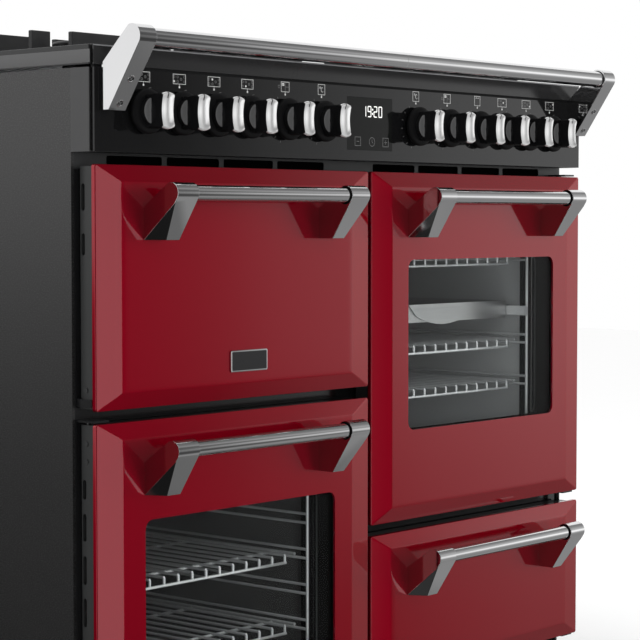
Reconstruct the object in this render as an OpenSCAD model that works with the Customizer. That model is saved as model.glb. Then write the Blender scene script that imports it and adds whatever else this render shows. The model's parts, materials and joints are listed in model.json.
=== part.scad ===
// Range cooker with four doors, a gas hob, twelve knobs and a rail along the front.
// The front faces -Y, the doors hang on real pins, and the feet stand on z = 0.

/* [Body] */
// Width over the side panels
body_w = 1000; // [990:5:1030]
// Depth from the door fronts to the rear edges of the side panels
body_d = 600; // [590:5:630]
// Thickness of the steel sheet of the body
sheet = 1.2; // [1:0.1:1.4]
// Height of the lower doors' bottom edges above the floor
door_base = 70; // [66:1:80]
// Height from the lower doors' bottom edges to the upper doors' top edges
door_zone_h = 697; // [690:1:710]
// Distance of the body front behind the door fronts
body_setback = 37.3; // [37.3:0.1:39]
// Height of the side panels' bottom edge above the floor
side_foot_gap = 12; // [8:1:20]
// Distance of the back panel inside the side panels' rear edges
back_recess = 35; // [33:1:40]

/* [Doors] */
// Height of the grill door
grill_door_h = 287.6; // [280:0.1:292]
// Height of the slow oven door
slow_door_h = 205; // [198:1:208]
// Gap between an upper door and the door under it
row_gap = 15; // [15:0.5:17]
// Gap between the left and the right doors
door_gap = 6; // [5:0.5:8]
// Distance of a door's outer edge inside the side panel
door_side_gap = 3; // [2:0.5:4]
// Width of the bevel along the sides of a door
bevel_side = 38.6; // [34:0.1:42]
// Width of the bevel along the top and the bottom of a door
bevel_end = 20.5; // [18:0.5:24]
// Height of the raised field above the door's edge
field_rise = 5.2; // [4:0.1:5.6]
// Thickness of the door skin
skin_t = 1.2; // [1:0.1:1.4]
// Depth of the skin's folded edge
skin_fold = 6; // [5:0.5:6]
// Distance of the liner's sides inside the skin's edge
liner_inset = 7; // [6:0.5:8]
// Distance of the liner's ends inside the skin's edge
liner_end_inset = 2; // [2:0.1:3]
// Depth of the liner's rear face behind the door front
liner_rear = 32.7; // [32:0.1:32.8]
// Thickness of the liner sheet
liner_t = 1; // [0.8:0.1:1.2]
// Width of an oven window
window_w = 346; // [320:1:350]
// Height of the door above an oven window
window_top = 119; // [114:1:124]
// Height of the main oven door under its window
main_window_base = 60; // [55:1:80]
// Height of the tall oven door under its window
tall_window_base = 124; // [110:1:135]
// Corner radius of an oven window
window_r = 12; // [8:1:16]
// Thickness of a window pane
glass_t = 4; // [3:0.5:5]

/* [Hinges] */
// Radius of a hinge pin
pin_r = 4; // [3:0.25:4]
// Radial clearance of a pin in its bush
pin_clear = 0.08; // [0.05:0.01:0.1]
// Distance of the upright pins inside the door's outer edge
side_pin_in = 14; // [13:0.5:15]
// Depth of the upright pins behind the door front
side_pin_y = 27; // [26.5:0.1:27]
// Height of the grill door's pins above its bottom edge
grill_pin_up = 8.6; // [8.6:0.1:9]
// Depth of the grill door's pins behind the door front
grill_pin_y = 15; // [14.6:0.1:15.4]
// Thickness of a hinge plate
plate_t = 2.5; // [2:0.1:2.5]
// Gap between a hinge plate and the door on it
plate_gap = 1.2; // [1:0.1:1.2]

/* [Handles] */
// Distance between the outer faces of a door handle's brackets
handle_w = 349; // [320:1:360]
// Width of a handle bracket
handle_bracket_w = 35; // [28:1:38]
// Radius of a handle bar
handle_bar_r = 9.7; // [8:0.1:10.5]
// Radius of the bracket's collar round the bar
handle_collar_r = 12.5; // [12:0.1:13.5]
// Distance of the bar's axis in front of the door
handle_reach = 51; // [46:1:54]
// Distance of the bar's axis under the door's top edge
handle_drop = 33; // [30:1:36]
// Height of the bracket's foot on the door
handle_foot_h = 39; // [34:1:42]

/* [Rail] */
// Distance of the rail's axis in front of the doors
rail_reach = 54.5; // [50:0.5:58]
// Height of the rail's axis above the fascia's bottom edge
rail_up = 129.5; // [126:0.5:134]
// Radius of the rail's bar
rail_bar_r = 11.5; // [10:0.5:12.5]
// Radius of the bracket's collar round the rail
rail_collar_r = 14.5; // [14:0.5:16]
// Distance of a rail bracket's outer face inside the side panel
rail_side_gap = 10; // [8:1:14]
// Width of a rail bracket
rail_bracket_w = 27; // [24:1:32]
// Length of a rail bracket's collar
rail_collar_l = 41; // [36:1:46]
// Height of the rail bracket's foot on the fascia
rail_foot_h = 49.5; // [44:0.5:52]

/* [Fascia and knobs] */
// Height of the vent rail that shows above the doors
vent_h = 14.5; // [14:0.5:18]
// Height of the fascia
fascia_h = 97.2; // [94:0.1:100]
// Thickness of the fascia
fascia_t = 4; // [3:0.5:4.5]
// Gap between the fascia and the hob
fascia_gap = 2.9; // [2:0.1:4]
// Width of a vent slot
vent_slot_w = 92; // [80:1:94]
// Distance between vent slots
vent_pitch = 100.3; // [99:0.1:101]
// Distance of the first vent slot's middle from the centre
vent_first = 97; // [94:1:100]
// Distance of the knobs beside the clock from the centre
knob_first = 98.5; // [80:0.5:104]
// Distance of the outermost knobs inside the sides of the body
knob_edge = 81.5; // [76:0.5:84]
// Distance between the four outer knobs on each side
knob_pitch = 59.8; // [54:0.1:62]
// Radius of a knob's skirt
knob_skirt_r = 26.5; // [24:0.5:27]
// Radius of a knob's body
knob_body_r = 17.5; // [16:0.5:20]
// Length of a knob's body from the skirt's rear to its front edge
knob_body_l = 16.5; // [14:0.5:20]
// Length of a knob from its skirt to its front
knob_len = 37.5; // [34:0.5:40]
// Gap between a knob and the fascia
knob_gap = 5; // [4.5:0.5:7]
// Length of a knob's grip bar
grip_l = 43; // [40:1:46]
// Width of a knob's grip bar
grip_w = 19; // [16:0.5:21]
// Radius of a knob's spindle
spindle_r = 3; // [3:0.25:4]
// Width of the clock display
clock_w = 94; // [86:1:100]
// Height of the clock display
clock_h = 70; // [62:1:76]

/* [Hob] */
// Height of the hob's edge
hob_edge_h = 23.4; // [22:0.1:26]
// Thickness of the hob's enamelled sheet
hob_t = 1.5; // [1.2:0.1:2]
// Distance between the burner columns
burner_pitch = 248; // [244:1:250]
// Distance of the front burners behind the door fronts
front_burner_y = 159.5; // [156:0.5:170]
// Distance of the rear burners behind the door fronts
rear_burner_y = 420; // [400:1:430]
// Radius of a burner's cap
burner_r = 36; // [30:1:38]
// Radius of the wok burner's cap
wok_r = 60; // [50:1:64]
// Width of a pan support
support_w = 166; // [160:1:176]
// Width of the wok burner's pan support
wok_support_w = 226; // [220:1:236]
// Height of a pan support's frame above the hob
support_h = 22; // [20:1:24]
// Height of a pan support's fingers above the hob
finger_h = 28; // [26:1:30]
// Thickness of a pan support's bars
bar_t = 7; // [6:0.5:8]

/* [Ovens] */
// Width inside each oven
cavity_w = 355; // [350:1:358]
// Depth inside each oven, behind its mouth
cavity_d = 405; // [380:5:415]
// Depth of the mouth in front of each oven
mouth_d = 22.7; // [18:0.1:26]
// Corner radius inside an oven
cavity_r = 14; // [10:1:18]
// Height of the main oven's floor above its door's bottom edge
main_floor_up = 37; // [34:1:40]
// Height inside the main oven
main_cavity_h = 328; // [320:1:330]
// Height of the tall oven's floor above its door's bottom edge
tall_floor_up = 60; // [50:1:64]
// Height inside the tall oven
tall_cavity_h = 370; // [360:1:372]
// Height of the grill's floor above its door's bottom edge
grill_floor_up = 30; // [30:1:32]
// Height inside the grill
grill_cavity_h = 228; // [220:1:230]
// Height of the slow oven's floor above its door's bottom edge
slow_floor_up = 26; // [24:1:28]
// Height inside the slow oven
slow_cavity_h = 154; // [146:1:156]
// Heights of the main oven's shelves above its floor
main_shelves = [54, 149];
// Heights of the tall oven's shelves above its floor
tall_shelves = [109, 171.5, 296.5];
// Height of the roasting tin's rim above the tall oven's floor
tin_up = 231; // [226:1:236]
// Height of the slow oven's shelf above its floor
slow_shelf = 40; // [34:1:60]
// Height of the grill's shelf above its floor
grill_shelf = 100; // [90:1:120]
// Radius of a shelf's rods
rod_r = 2.2; // [2:0.1:2.4]
// Distance between a shelf's rods
rod_pitch = 25; // [24:0.5:28]
// Distance of the side racks' rods from the oven's walls
rack_in = 7.5; // [7:0.5:9]
// Height between the two rods that hold a shelf
rack_pair = 12; // [12:0.5:14]

/* [Hidden] */
$fn = 48;
eps = 0.01;
seat = 0.3;
arc_n = 6;

rail_front = rail_reach + rail_collar_r;
door_y = -(body_d + rail_front) / 2 + rail_front;
half_w = body_w / 2;
door_w = half_w - door_side_gap - door_gap / 2;
door_x = half_w - door_side_gap - door_w / 2;
door_top = door_base + door_zone_h;
grill_z = door_top - grill_door_h;
main_door_h = door_zone_h - grill_door_h - row_gap;
tall_door_h = door_zone_h - slow_door_h - row_gap;
tall_z = door_top - tall_door_h;
fascia_z = door_top + vent_h;
fascia_top = fascia_z + fascia_h;
fascia_w = 2 * (half_w - door_side_gap);
hob_base_z = fascia_top + fascia_gap;
hob_z = hob_base_z + hob_edge_h;
knob_z = fascia_z + fascia_h / 2;
knob_push = 3.5;
knob_step = min(knob_pitch, (half_w - knob_edge - knob_first) / 5);
knob_x4 = [for (k = [3:-1:0]) half_w - knob_edge - k * knob_step];
knob_x = concat([knob_first, (knob_first + knob_x4[0]) / 2], knob_x4);
liner_w = door_w - 2 * liner_inset;
cavity_y = body_setback + mouth_d;
side_fold = 4;
frame_w = body_w - 2 * side_fold;
groove_y = 6;
back_y = body_d - back_recess;
seal_w = 6;
seal_off = 6;
housing_back_y = 112;
base_t = 4;
foot_x = half_w - 60;
foot_y = [95, body_d - 90];
vent_overlap = 5;
main_floor = door_base + main_floor_up;
tall_floor = tall_z + tall_floor_up;
grill_floor = grill_z + grill_floor_up;
slow_floor = door_base + slow_floor_up;
col_x = [-1.5, -0.5, 0.5, 1.5] * burner_pitch;
burners = [[col_x[0], front_burner_y, burner_r], [col_x[0], rear_burner_y, burner_r],
           [col_x[1], front_burner_y, burner_r], [col_x[1], rear_burner_y, burner_r],
           [col_x[3], front_burner_y, burner_r], [col_x[3], rear_burner_y, burner_r],
           [col_x[2], (front_burner_y + rear_burner_y) / 2, wok_r]];
gas_knobs = [-knob_x[5], -knob_x[4], -knob_x[3], -knob_x[2], knob_x[3], knob_x[4], knob_x[5]];
switch_knobs = [-knob_x[1], -knob_x[0], knob_x[0], knob_x[1], knob_x[2]];
tap_front_y = 18;
spindle_in = 24;
tap_len = spindle_in + knob_push + 2.5;
manifold_y = 62;
manifold_r = 8;
inlet_in = 36;
inlet_x = half_w - inlet_in;
hob_ledge = 10;
inlet_r = 9.3;
inlet_len = 15;
gland_r = 6.5;

// Points on an arc, and the outline of a rectangle with rounded corners about the origin
function arc(cx, cy, r, a0, a1, n) =
    [for (i = [0:n]) [cx + r * cos(a0 + (a1 - a0) * i / n), cy + r * sin(a0 + (a1 - a0) * i / n)]];
function rounded(w, h, r) = concat(
    arc(w / 2 - r, h / 2 - r, r, 0, 90, arc_n), arc(r - w / 2, h / 2 - r, r, 90, 180, arc_n),
    arc(r - w / 2, r - h / 2, r, 180, 270, arc_n), arc(w / 2 - r, r - h / 2, r, 270, 360, arc_n));

// Everything is placed from the door fronts, the left-right centre and the floor
module placed() translate([0, door_y, 0]) children();

// A box from its two corners
module box(a, b) translate(a) cube(b - a);

// A profile drawn in (Y, Z) and carried from x0 to x1
module along_x(x0, x1) translate([x0, 0, 0]) rotate([90, 0, 90]) linear_extrude(x1 - x0) children();

// A profile drawn in (X, Z) and carried from y0 back to y1
module along_y(y0, y1) translate([0, y1, 0]) rotate([90, 0, 0]) linear_extrude(y1 - y0) children();

// Round rods along each axis, from a start point
module rod_x(p, l, r) translate(p) rotate([0, 90, 0]) cylinder(h = l, r = r);
module rod_y(p, l, r) translate(p) rotate([-90, 0, 0]) cylinder(h = l, r = r);
module rod_z(p, l, r) translate(p) cylinder(h = l, r = r);

// A frame round a rounded opening, carried from y0 to y1
module ring_y(w, h, r, t, y0, y1) along_y(y0, y1) difference() {
    polygon(rounded(w + 2 * t, h + 2 * t, r + t));
    polygon(rounded(w, h, r));
}

// Side panels: one sheet each, folded inwards at the front and the back
module side_panels() color("#3b3b3d") placed()
    for (s = [-1, 1]) translate([0, 0, side_foot_gap])
        linear_extrude(fascia_top - side_foot_gap)
            polygon([for (p = [[half_w, body_setback], [half_w, body_d], [half_w - 14, body_d],
                               [half_w - 14, body_d - sheet], [half_w - sheet, body_d - sheet],
                               [half_w - sheet, body_setback + sheet],
                               [half_w - side_fold, body_setback + sheet],
                               [half_w - side_fold, body_setback]]) [s * p[0], p[1]]]);

// Back panel: a sheet with rows of louvres, the terminal cover and its cable gland
louvre_w = 60;
louvre_h = 5;
terminal_x = -half_w + 70;
terminal_z = door_top - 20;
terminal_s = [90, 24, 80];
pipe_z = fascia_z + 30;
module back_panel() color("#8d9094") placed() {
    difference() {
        union() {
            box([-half_w + sheet, back_y, door_base], [half_w - sheet, back_y + sheet, fascia_top]);
            box([-half_w + hob_ledge, back_y, fascia_top - eps],
                [half_w - hob_ledge, back_y + sheet, hob_z - hob_t]);
        }
        for (cx = [-300:100:300], cz = [0:5])
            box([cx - louvre_w / 2, back_y - 1, door_top - 60 - cz * 14],
                [cx + louvre_w / 2, back_y + sheet + 1, door_top - 60 - cz * 14 + louvre_h]);
        rod_y([inlet_x, back_y - 1, pipe_z], sheet + 2, manifold_r + seat);
    }
    difference() {
        translate([terminal_x, back_y + sheet, terminal_z]) cube(terminal_s);
        translate([terminal_x + 2, back_y + sheet - 1, terminal_z + 2])
            cube(terminal_s - [4, 1, 4]);
        rod_z([terminal_x + 20, back_y + sheet + 12, terminal_z - 1], 4, gland_r);
    }
    difference() {
        rod_z([terminal_x + 20, back_y + sheet + 12, terminal_z - 12], 12, 10.5);
        rod_z([terminal_x + 20, back_y + sheet + 12, terminal_z - 13], 14, gland_r);
    }
}

// Oven mouths: the middle and the size of each, as [x, z, w, h]
mouths = [[-door_x, grill_floor + grill_cavity_h / 2, cavity_w, grill_cavity_h],
          [-door_x, main_floor + main_cavity_h / 2, cavity_w, main_cavity_h],
          [door_x, tall_floor + tall_cavity_h / 2, cavity_w, tall_cavity_h],
          [door_x, slow_floor + slow_cavity_h / 2, cavity_w, slow_cavity_h]];

// Hinge plates: a flat plate on the body front at height z, from front to the body
plate_w = 26;
pin_x = half_w - door_side_gap - side_pin_in;
pin_depth = 9;
plate_front = 7;
ear_t = 3;
ear_r = 5;
ear_pin = 12;
module hinge_plate(s, z, y0, y1 = body_setback + eps) {
    box([s > 0 ? pin_x - plate_w / 2 : -pin_x - plate_w / 2 + 1, y0, z],
        [s > 0 ? pin_x + plate_w / 2 - 1 : -pin_x + plate_w / 2, y1, z + plate_t]);
}
module pin_up(s, z) rod_z([s * pin_x, side_pin_y, z + plate_t - eps], plate_gap + pin_depth, pin_r);
module pin_down(s, z, l) rod_z([s * pin_x, side_pin_y, z - l], l + eps, pin_r);
module grill_ear(x, s) {
    ear_z = grill_z + grill_pin_up;
    along_x(x, x + ear_t) polygon(concat(
        arc(grill_pin_y, ear_z, ear_r, 90, 270, 10),
        [[body_setback + eps, ear_z - ear_r], [body_setback + eps, ear_z + ear_r]]));
    rod_x([s > 0 ? x + ear_t - eps : x - ear_pin + eps, grill_pin_y, ear_z], ear_pin, pin_r);
}

// Front frame: the plate round the four mouths, with the hinge plates and pins
module front_frame() color("#1b1b1c") placed() {
    difference() {
        box([-frame_w / 2, body_setback, door_base - 4],
            [frame_w / 2, body_setback + sheet, door_top - vent_overlap]);
        for (m = mouths) translate([m[0], 0, m[1]])
            along_y(body_setback - 1, body_setback + sheet + 1)
                polygon(rounded(m[2], m[3], cavity_r));
    }
    base_plate_z = door_base - plate_gap - plate_t;
    for (s = [-1, 1]) {
        hinge_plate(s, base_plate_z, plate_front);
        pin_up(s, base_plate_z);
    }
    main_top = door_base + main_door_h;
    hinge_plate(-1, main_top + plate_gap, plate_front);
    pin_down(-1, main_top + plate_gap, plate_gap + pin_depth);
    mid_z = tall_z - plate_gap - plate_t;
    hinge_plate(1, mid_z, plate_front);
    pin_up(1, mid_z);
    pin_down(1, mid_z, mid_z - (door_base + slow_door_h) + pin_depth);
    hinge_plate(1, door_top + plate_gap, plate_front, body_setback);
    pin_down(1, door_top + plate_gap, plate_gap + pin_depth);
    grill_ear(-door_x - liner_w / 2 - 1 - ear_t, 1);
    grill_ear(-door_x + liner_w / 2 + 1, -1);
}

// Base frame: the floor pan and the two runners that the feet screw into
runner_w = 40;
runner_h = 16;
module base_frame() color("#26272a") placed() {
    difference() {
        union() {
            box([-half_w + sheet, body_setback + sheet, door_base - base_t],
                [half_w - sheet, back_y + sheet, door_base - base_t + sheet]);
            for (s = [-1, 1])
                box([s * foot_x - runner_w / 2, body_setback + 14, door_base - base_t - runner_h],
                    [s * foot_x + runner_w / 2, back_y, door_base - base_t + eps]);
        }
        for (s = [-1, 1], y = foot_y)
            rod_z([s * foot_x, y, door_base - base_t - runner_h - 1], runner_h - 1, 6 + 0.05);
    }
}

// Plinth: the set-back strip under the doors
plinth_y = body_setback + 13;
plinth_tab_x = half_w - 120;
module plinth() color("#161617") placed() {
    box([-half_w + sheet, plinth_y - 1.2, side_foot_gap + 2],
        [half_w - sheet, plinth_y, door_base - base_t]);
    for (s = [-1, 0, 1]) translate([s * plinth_tab_x, 0, 0])
        box([-15, plinth_y - eps, door_base - base_t - 18], [15, plinth_y + 3, door_base - base_t]);
}

// Levelling feet: a threaded stud on a round pad, one under each corner
foot_pad_h = 12;
module levelling_feet() color("#1e1e1f") placed()
    for (s = [-1, 1], y = foot_y) translate([s * foot_x, y, 0]) {
        rotate_extrude() polygon([[0, 0], [19, 0], [20, 1], [20, foot_pad_h - 4],
                                  [14, foot_pad_h], [0, foot_pad_h]]);
        rod_z([0, 0, foot_pad_h - eps], door_base - base_t - foot_pad_h - 3, 6);
    }

// Vent rail: the slotted strip between the doors and the fascia
vent_slot_h = 11;
module vent_rail() color("#2e3032") placed() difference() {
    box([-frame_w / 2, body_setback, door_top - vent_overlap],
        [frame_w / 2, body_setback + sheet, fascia_z]);
    for (s = [-1, 1], i = [0:3])
        translate([s * (vent_first + i * vent_pitch), 0, door_top + 6.2])
            along_y(body_setback - 1, body_setback + sheet + 1)
                polygon(rounded(vent_slot_w, vent_slot_h, 3));
}

// Control housing: the tray behind the fascia, with the switches on its inner plate
inner_y = 12;
tray_x = half_w - side_fold - seat;
module control_housing() color("#3f4143") placed() {
    for (s = [-1, 1])
        box([s > 0 ? half_w - sheet : -half_w, groove_y, fascia_z],
            [s > 0 ? half_w : -half_w + sheet, body_setback, fascia_top]);
    difference() {
        union() {
            box([-half_w + sheet, groove_y, fascia_z],
                [half_w - sheet, body_setback - seat, fascia_z + sheet]);
            box([-tray_x, groove_y, fascia_z], [tray_x, housing_back_y, fascia_z + sheet]);
            box([-tray_x, housing_back_y - sheet, fascia_z], [tray_x, housing_back_y, fascia_top - 4]);
            box([-half_w + sheet, inner_y, fascia_z], [half_w - sheet, inner_y + sheet, fascia_top]);
            box([-half_w + hob_ledge, inner_y, fascia_top - eps],
                [half_w - hob_ledge, inner_y + sheet, hob_z - hob_t]);
        }
        for (x = concat(gas_knobs, switch_knobs))
            rod_y([x, inner_y - 1, knob_z], sheet + 2, spindle_r + 2);
        box([-clock_w / 2 + 4, inner_y - 1, knob_z - clock_h / 2 + 4],
            [clock_w / 2 - 4, inner_y + sheet + 1, knob_z + clock_h / 2 - 4]);
        box([inlet_x - 18, housing_back_y - sheet - 1, pipe_z - 12],
            [half_w, housing_back_y + 1, pipe_z + 12]);
    }
    for (x = switch_knobs) difference() {
        box([x - 19, inner_y + sheet, knob_z - 19], [x + 19, inner_y + sheet + 32, knob_z + 19]);
        rod_y([x, inner_y, knob_z], 26, spindle_r + pin_clear);
    }
}

// Fascia: the flat front plate with the knob holes and the clock's cut-out
module fascia_panel() color("#242526") placed() difference() {
    box([-fascia_w / 2, 0, fascia_z], [fascia_w / 2, fascia_t, fascia_top]);
    for (x = concat(gas_knobs, switch_knobs))
        rod_y([x, -1, knob_z], fascia_t + 2, spindle_r + 2);
    box([-clock_w / 2, -1, knob_z - clock_h / 2], [clock_w / 2, fascia_t + 1, knob_z + clock_h / 2]);
}

// Clock display: a flush pane with the timer's case behind it
module clock_display() color("#101112") placed() {
    box([-clock_w / 2 + seat, 0, knob_z - clock_h / 2 + seat],
        [clock_w / 2 - seat, fascia_t, knob_z + clock_h / 2 - seat]);
    box([-clock_w / 2 + 5, fascia_t - eps, knob_z - clock_h / 2 + 5],
        [clock_w / 2 - 5, 40, knob_z + clock_h / 2 - 5]);
    for (s = [-1, 1])
        box([s * (clock_w / 2 + 2) - 5, fascia_t, knob_z - 10],
            [s * (clock_w / 2 + 2) + 5, inner_y, knob_z + 10]);
}

// Rail: a round bar held in the collars of two brackets
rail_z = fascia_z + rail_up;
rail_bracket_x = half_w - rail_side_gap;
rail_ring = 2;
rail_socket = 6;
seam_w = 0.8;
seam_deep = 0.5;
module rail_bar() color("#c9cbce") placed() {
    bar_l = 2 * (rail_bracket_x - rail_socket);
    rod_x([-bar_l / 2, -rail_reach, rail_z], bar_l / 2 - seam_w / 2, rail_bar_r);
    rod_x([seam_w / 2, -rail_reach, rail_z], bar_l / 2 - seam_w / 2, rail_bar_r);
    rod_x([-seam_w, -rail_reach, rail_z], 2 * seam_w, rail_bar_r - seam_deep);
}

// A screw head with its cross, cut as a ring and two slots into the face z = 0
bracket_screw_r = 3.4;
screw_ring = 0.8;
screw_sink = 1;
cross = [4.8, 1, 1.2];
module screw_head_cut() {
    difference() {
        translate([0, 0, -screw_sink])
            cylinder(h = 2 * screw_sink, r = bracket_screw_r + screw_ring, $fn = 24);
        translate([0, 0, -2 * screw_sink]) cylinder(h = 4 * screw_sink, r = bracket_screw_r, $fn = 24);
    }
    for (a = [45, 135])
        rotate(a) translate([-cross[0] / 2, -cross[1] / 2, -cross[2]]) cube(cross + [0, 0, 1]);
}

// Rail brackets: a slanted arm from the fascia's end up to the collar, fixed by two screws
bracket_foot = 16;
bracket_screws = [9.4, 42.4];
collar_from = 205;
module rail_brackets() color("#d4d5d7") placed() {
    foot_top = fascia_top - 0.4;
    foot = [-bracket_foot, foot_top - rail_foot_h];
    face = [-rail_reach, rail_z] + rail_collar_r * [cos(collar_from), sin(collar_from)] - foot;
    for (s = [-1, 1]) difference() {
        union() {
            along_x(s > 0 ? rail_bracket_x - rail_bracket_w : -rail_bracket_x,
                    s > 0 ? rail_bracket_x : rail_bracket_w - rail_bracket_x)
                polygon(concat([[0, foot_top], [0, foot[1]], foot],
                               arc(-rail_reach, rail_z, rail_collar_r, collar_from, 68, 14)));
            rod_x([s > 0 ? rail_bracket_x - rail_collar_l : -rail_bracket_x + rail_bracket_w - 1,
                   -rail_reach, rail_z], rail_collar_l - rail_bracket_w + 1, rail_collar_r - 0.02);
        }
        rod_x([s > 0 ? rail_bracket_x - rail_collar_l - 1 : -rail_bracket_x + rail_socket - seat,
               -rail_reach, rail_z], rail_collar_l + 1 - rail_socket + seat, rail_bar_r + 0.05);
        for (d = bracket_screws) let (at = foot + face * d / norm(face))
            translate([s * (rail_bracket_x - rail_bracket_w / 2), at[0], at[1]])
                rotate([90 + atan2(-face[0], face[1]), 0, 0]) screw_head_cut();
    }
}

// Hob: the front strip and the pressed plate with a hole under each burner
hob_hole_r = 24;
module hob_tray() color("#2b2d2e") placed() {
    box([-fascia_w / 2, 0, hob_base_z], [fascia_w / 2, groove_y - 2.5, hob_z - hob_t]);
    difference() {
        union() {
            box([-fascia_w / 2, 0, hob_z - hob_t - eps], [fascia_w / 2, groove_y + eps, hob_z]);
            box([-half_w, groove_y, hob_base_z], [half_w, body_d, hob_z]);
        }
        box([-half_w + hob_t, groove_y + hob_t, hob_base_z - 1],
            [half_w - hob_t, body_d - hob_t, hob_z - hob_t]);
        for (b = burners) rod_z([b[0], b[1], hob_base_z], hob_edge_h + 1, hob_hole_r);
        for (i = [-9:9])
            box([i * 46 - 17, body_d - 34, hob_z - 3], [i * 46 + 17, body_d - 26, hob_z + 1]);
    }
}

// Gas manifold: the pipe behind the knobs, a tap for each burner, and the inlet at the rear
tap_w = 20;
inlet_s = 27;
module gas_manifold() color("#b9a06a") placed() {
    difference() {
        union() {
            rod_x([-knob_x[5] - 14, manifold_y, knob_z], knob_x[5] + 14 + inlet_x, manifold_r);
            for (x = gas_knobs)
                box([x - tap_w / 2, tap_front_y, knob_z - 11], [x + tap_w / 2, manifold_y, knob_z + 11]);
            box([inlet_x - 10, manifold_y - 10, pipe_z - 10],
                [inlet_x + 10, manifold_y + 10, knob_z + 10]);
            rod_y([inlet_x, manifold_y, pipe_z], back_y + sheet + 3 - manifold_y, manifold_r);
            box([inlet_x - inlet_s / 2, back_y + sheet + 1, pipe_z - inlet_s - 4],
                [inlet_x + inlet_s / 2, back_y + sheet + 1 + inlet_s, pipe_z + inlet_s / 2 - 3]);
        }
        for (x = gas_knobs)
            rod_y([x, tap_front_y - 1, knob_z], tap_len + 1, spindle_r + pin_clear);
        rod_z([inlet_x, back_y + sheet + 1 + inlet_s / 2, pipe_z - inlet_s - 5],
              inlet_len + 1, inlet_r);
    }
    for (x = gas_knobs) for (s = [-1, 1])
        box([x + s * 7 - 1.5, inner_y + sheet, knob_z - 9],
            [x + s * 7 + 1.5, tap_front_y + eps, knob_z + 9]);
}

// Burner bodies: a cup on the hob with flame ports, an electrode and a flame sensor each
module burner_bodies() color("#6f7072") placed()
    for (b = burners) translate([b[0], b[1], hob_z]) {
        r = b[2];
        difference() {
            rotate_extrude() polygon([[12, -14], [hob_hole_r - 1, -14], [hob_hole_r - 1, 0],
                [r + 6, 0], [r + 6, 2.5], [r - 1, 5], [r - 3, 12], [12, 12]]);
            for (i = [0:8]) rotate([0, 0, 10 + i * 20])
                box([-r - 8, -1.1, 8], [r + 8, 1.1, 13]);
        }
        for (a = [60, 120]) rotate([0, 0, a]) rod_z([r + 10, 0, 0], 13, 2.5);
    }

// Burner caps: an enamelled lid on each cup
module burner_caps() color("#1c1d1e") placed()
    for (b = burners) translate([b[0], b[1], hob_z + 12])
        rotate_extrude() polygon(concat([[0, 0], [b[2] - 2, 0]],
            arc(b[2] - 3, 3, 3, -60, 90, 5), [[0, 6.6]]));

// Pan supports: cross bars, fingers that point at the burners, and low side bars
finger_l = 30;
mid_finger_l = 62;
end_finger_l = 20;
low_bar_h = 4;
module finger(l, h) {
    box([0, -bar_t / 2, 0], [l, bar_t / 2, h]);
    box([l - eps, -bar_t / 2, 0], [l + 9, bar_t / 2, 10]);
}
module support(w, rows, mid) {
    front = front_burner_y - 72;
    rear = rear_burner_y + 72;
    for (y = [front, rear]) box([-w / 2, y - bar_t / 2, 0], [w / 2, y + bar_t / 2, support_h]);
    for (s = [-1, 1]) {
        box([s * (w - bar_t) / 2 - bar_t / 2, front, 0], [s * (w - bar_t) / 2 + bar_t / 2, rear, low_bar_h]);
        for (y = rows) translate([s * w / 2, y, 0]) mirror([s > 0 ? 1 : 0, 0, 0]) finger(finger_l, finger_h);
        for (y = mid) translate([s * w / 2, y, 0]) mirror([s > 0 ? 1 : 0, 0, 0])
            finger(mid_finger_l, finger_h);
    }
    for (e = [[front, 1], [rear, -1]])
        translate([0, e[0], 0]) rotate([0, 0, e[1] * 90]) finger(end_finger_l, support_h);
}
module pan_supports() color("#202122") placed() {
    mid_y = (front_burner_y + rear_burner_y) / 2;
    for (i = [0, 1, 3]) translate([col_x[i], 0, hob_z])
        support(support_w, [front_burner_y, rear_burner_y], [mid_y - 55, mid_y + 55]);
    translate([col_x[2], 0, hob_z]) support(wok_support_w, [mid_y], [mid_y - 95, mid_y + 95]);
}

// Oven linings: an enamelled box, open at the front, that butts on the front frame
lining_y = body_setback + sheet;
module cavity(m, lamp) translate([m[0], 0, m[1]]) difference() {
    along_y(lining_y, cavity_y + cavity_d + sheet)
        polygon(rounded(m[2] + 2 * sheet, m[3] + 2 * sheet, cavity_r + sheet));
    along_y(lining_y - 1, cavity_y + cavity_d) polygon(rounded(m[2], m[3], cavity_r));
    if (lamp) rod_y([m[2] / 2 - 50, cavity_y + cavity_d - 1, m[3] / 2 - 45], sheet + 2, 20);
}
module grill_cavity() color("#2c2d2f") placed() cavity(mouths[0], false);
module main_oven_cavity() color("#2c2d2f") placed() cavity(mouths[1], true);
module tall_oven_cavity() color("#5d5f61") placed() cavity(mouths[2], true);
module slow_oven_cavity() color("#2c2d2f") placed() cavity(mouths[3], false);

// Side racks: pairs of rods that hold a shelf, on upright rods hooked to the oven's walls
rack_front_y = body_setback + 5;
rack_back_y = cavity_y + cavity_d - 12;
rack_r = 2;
rack_x = cavity_w / 2 - rack_in;
function shelf_rod_z(z) = z - rod_r - rack_r;
module rack(cx, floor, levels, height) for (s = [-1, 1]) {
    x = cx + s * rack_x;
    for (y = [rack_front_y, rack_back_y]) rod_z([x, y, floor + 14], height - 28, rack_r);
    for (z = levels, k = [0, 1])
        rod_y([x, rack_front_y, floor + shelf_rod_z(z) + k * rack_pair],
              rack_back_y - rack_front_y, rack_r - 0.1);
    for (z = [floor + 22, floor + height - 22])
        rod_x([s > 0 ? x : cx - cavity_w / 2, rack_back_y, z], rack_in, rack_r - 0.2);
}
runner_z = tin_up - 8;
tin_runner_w = 10;
tin_runner_h = 14;
tin_runner_in = rack_x - rack_r - tin_runner_w + 0.5;
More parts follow.
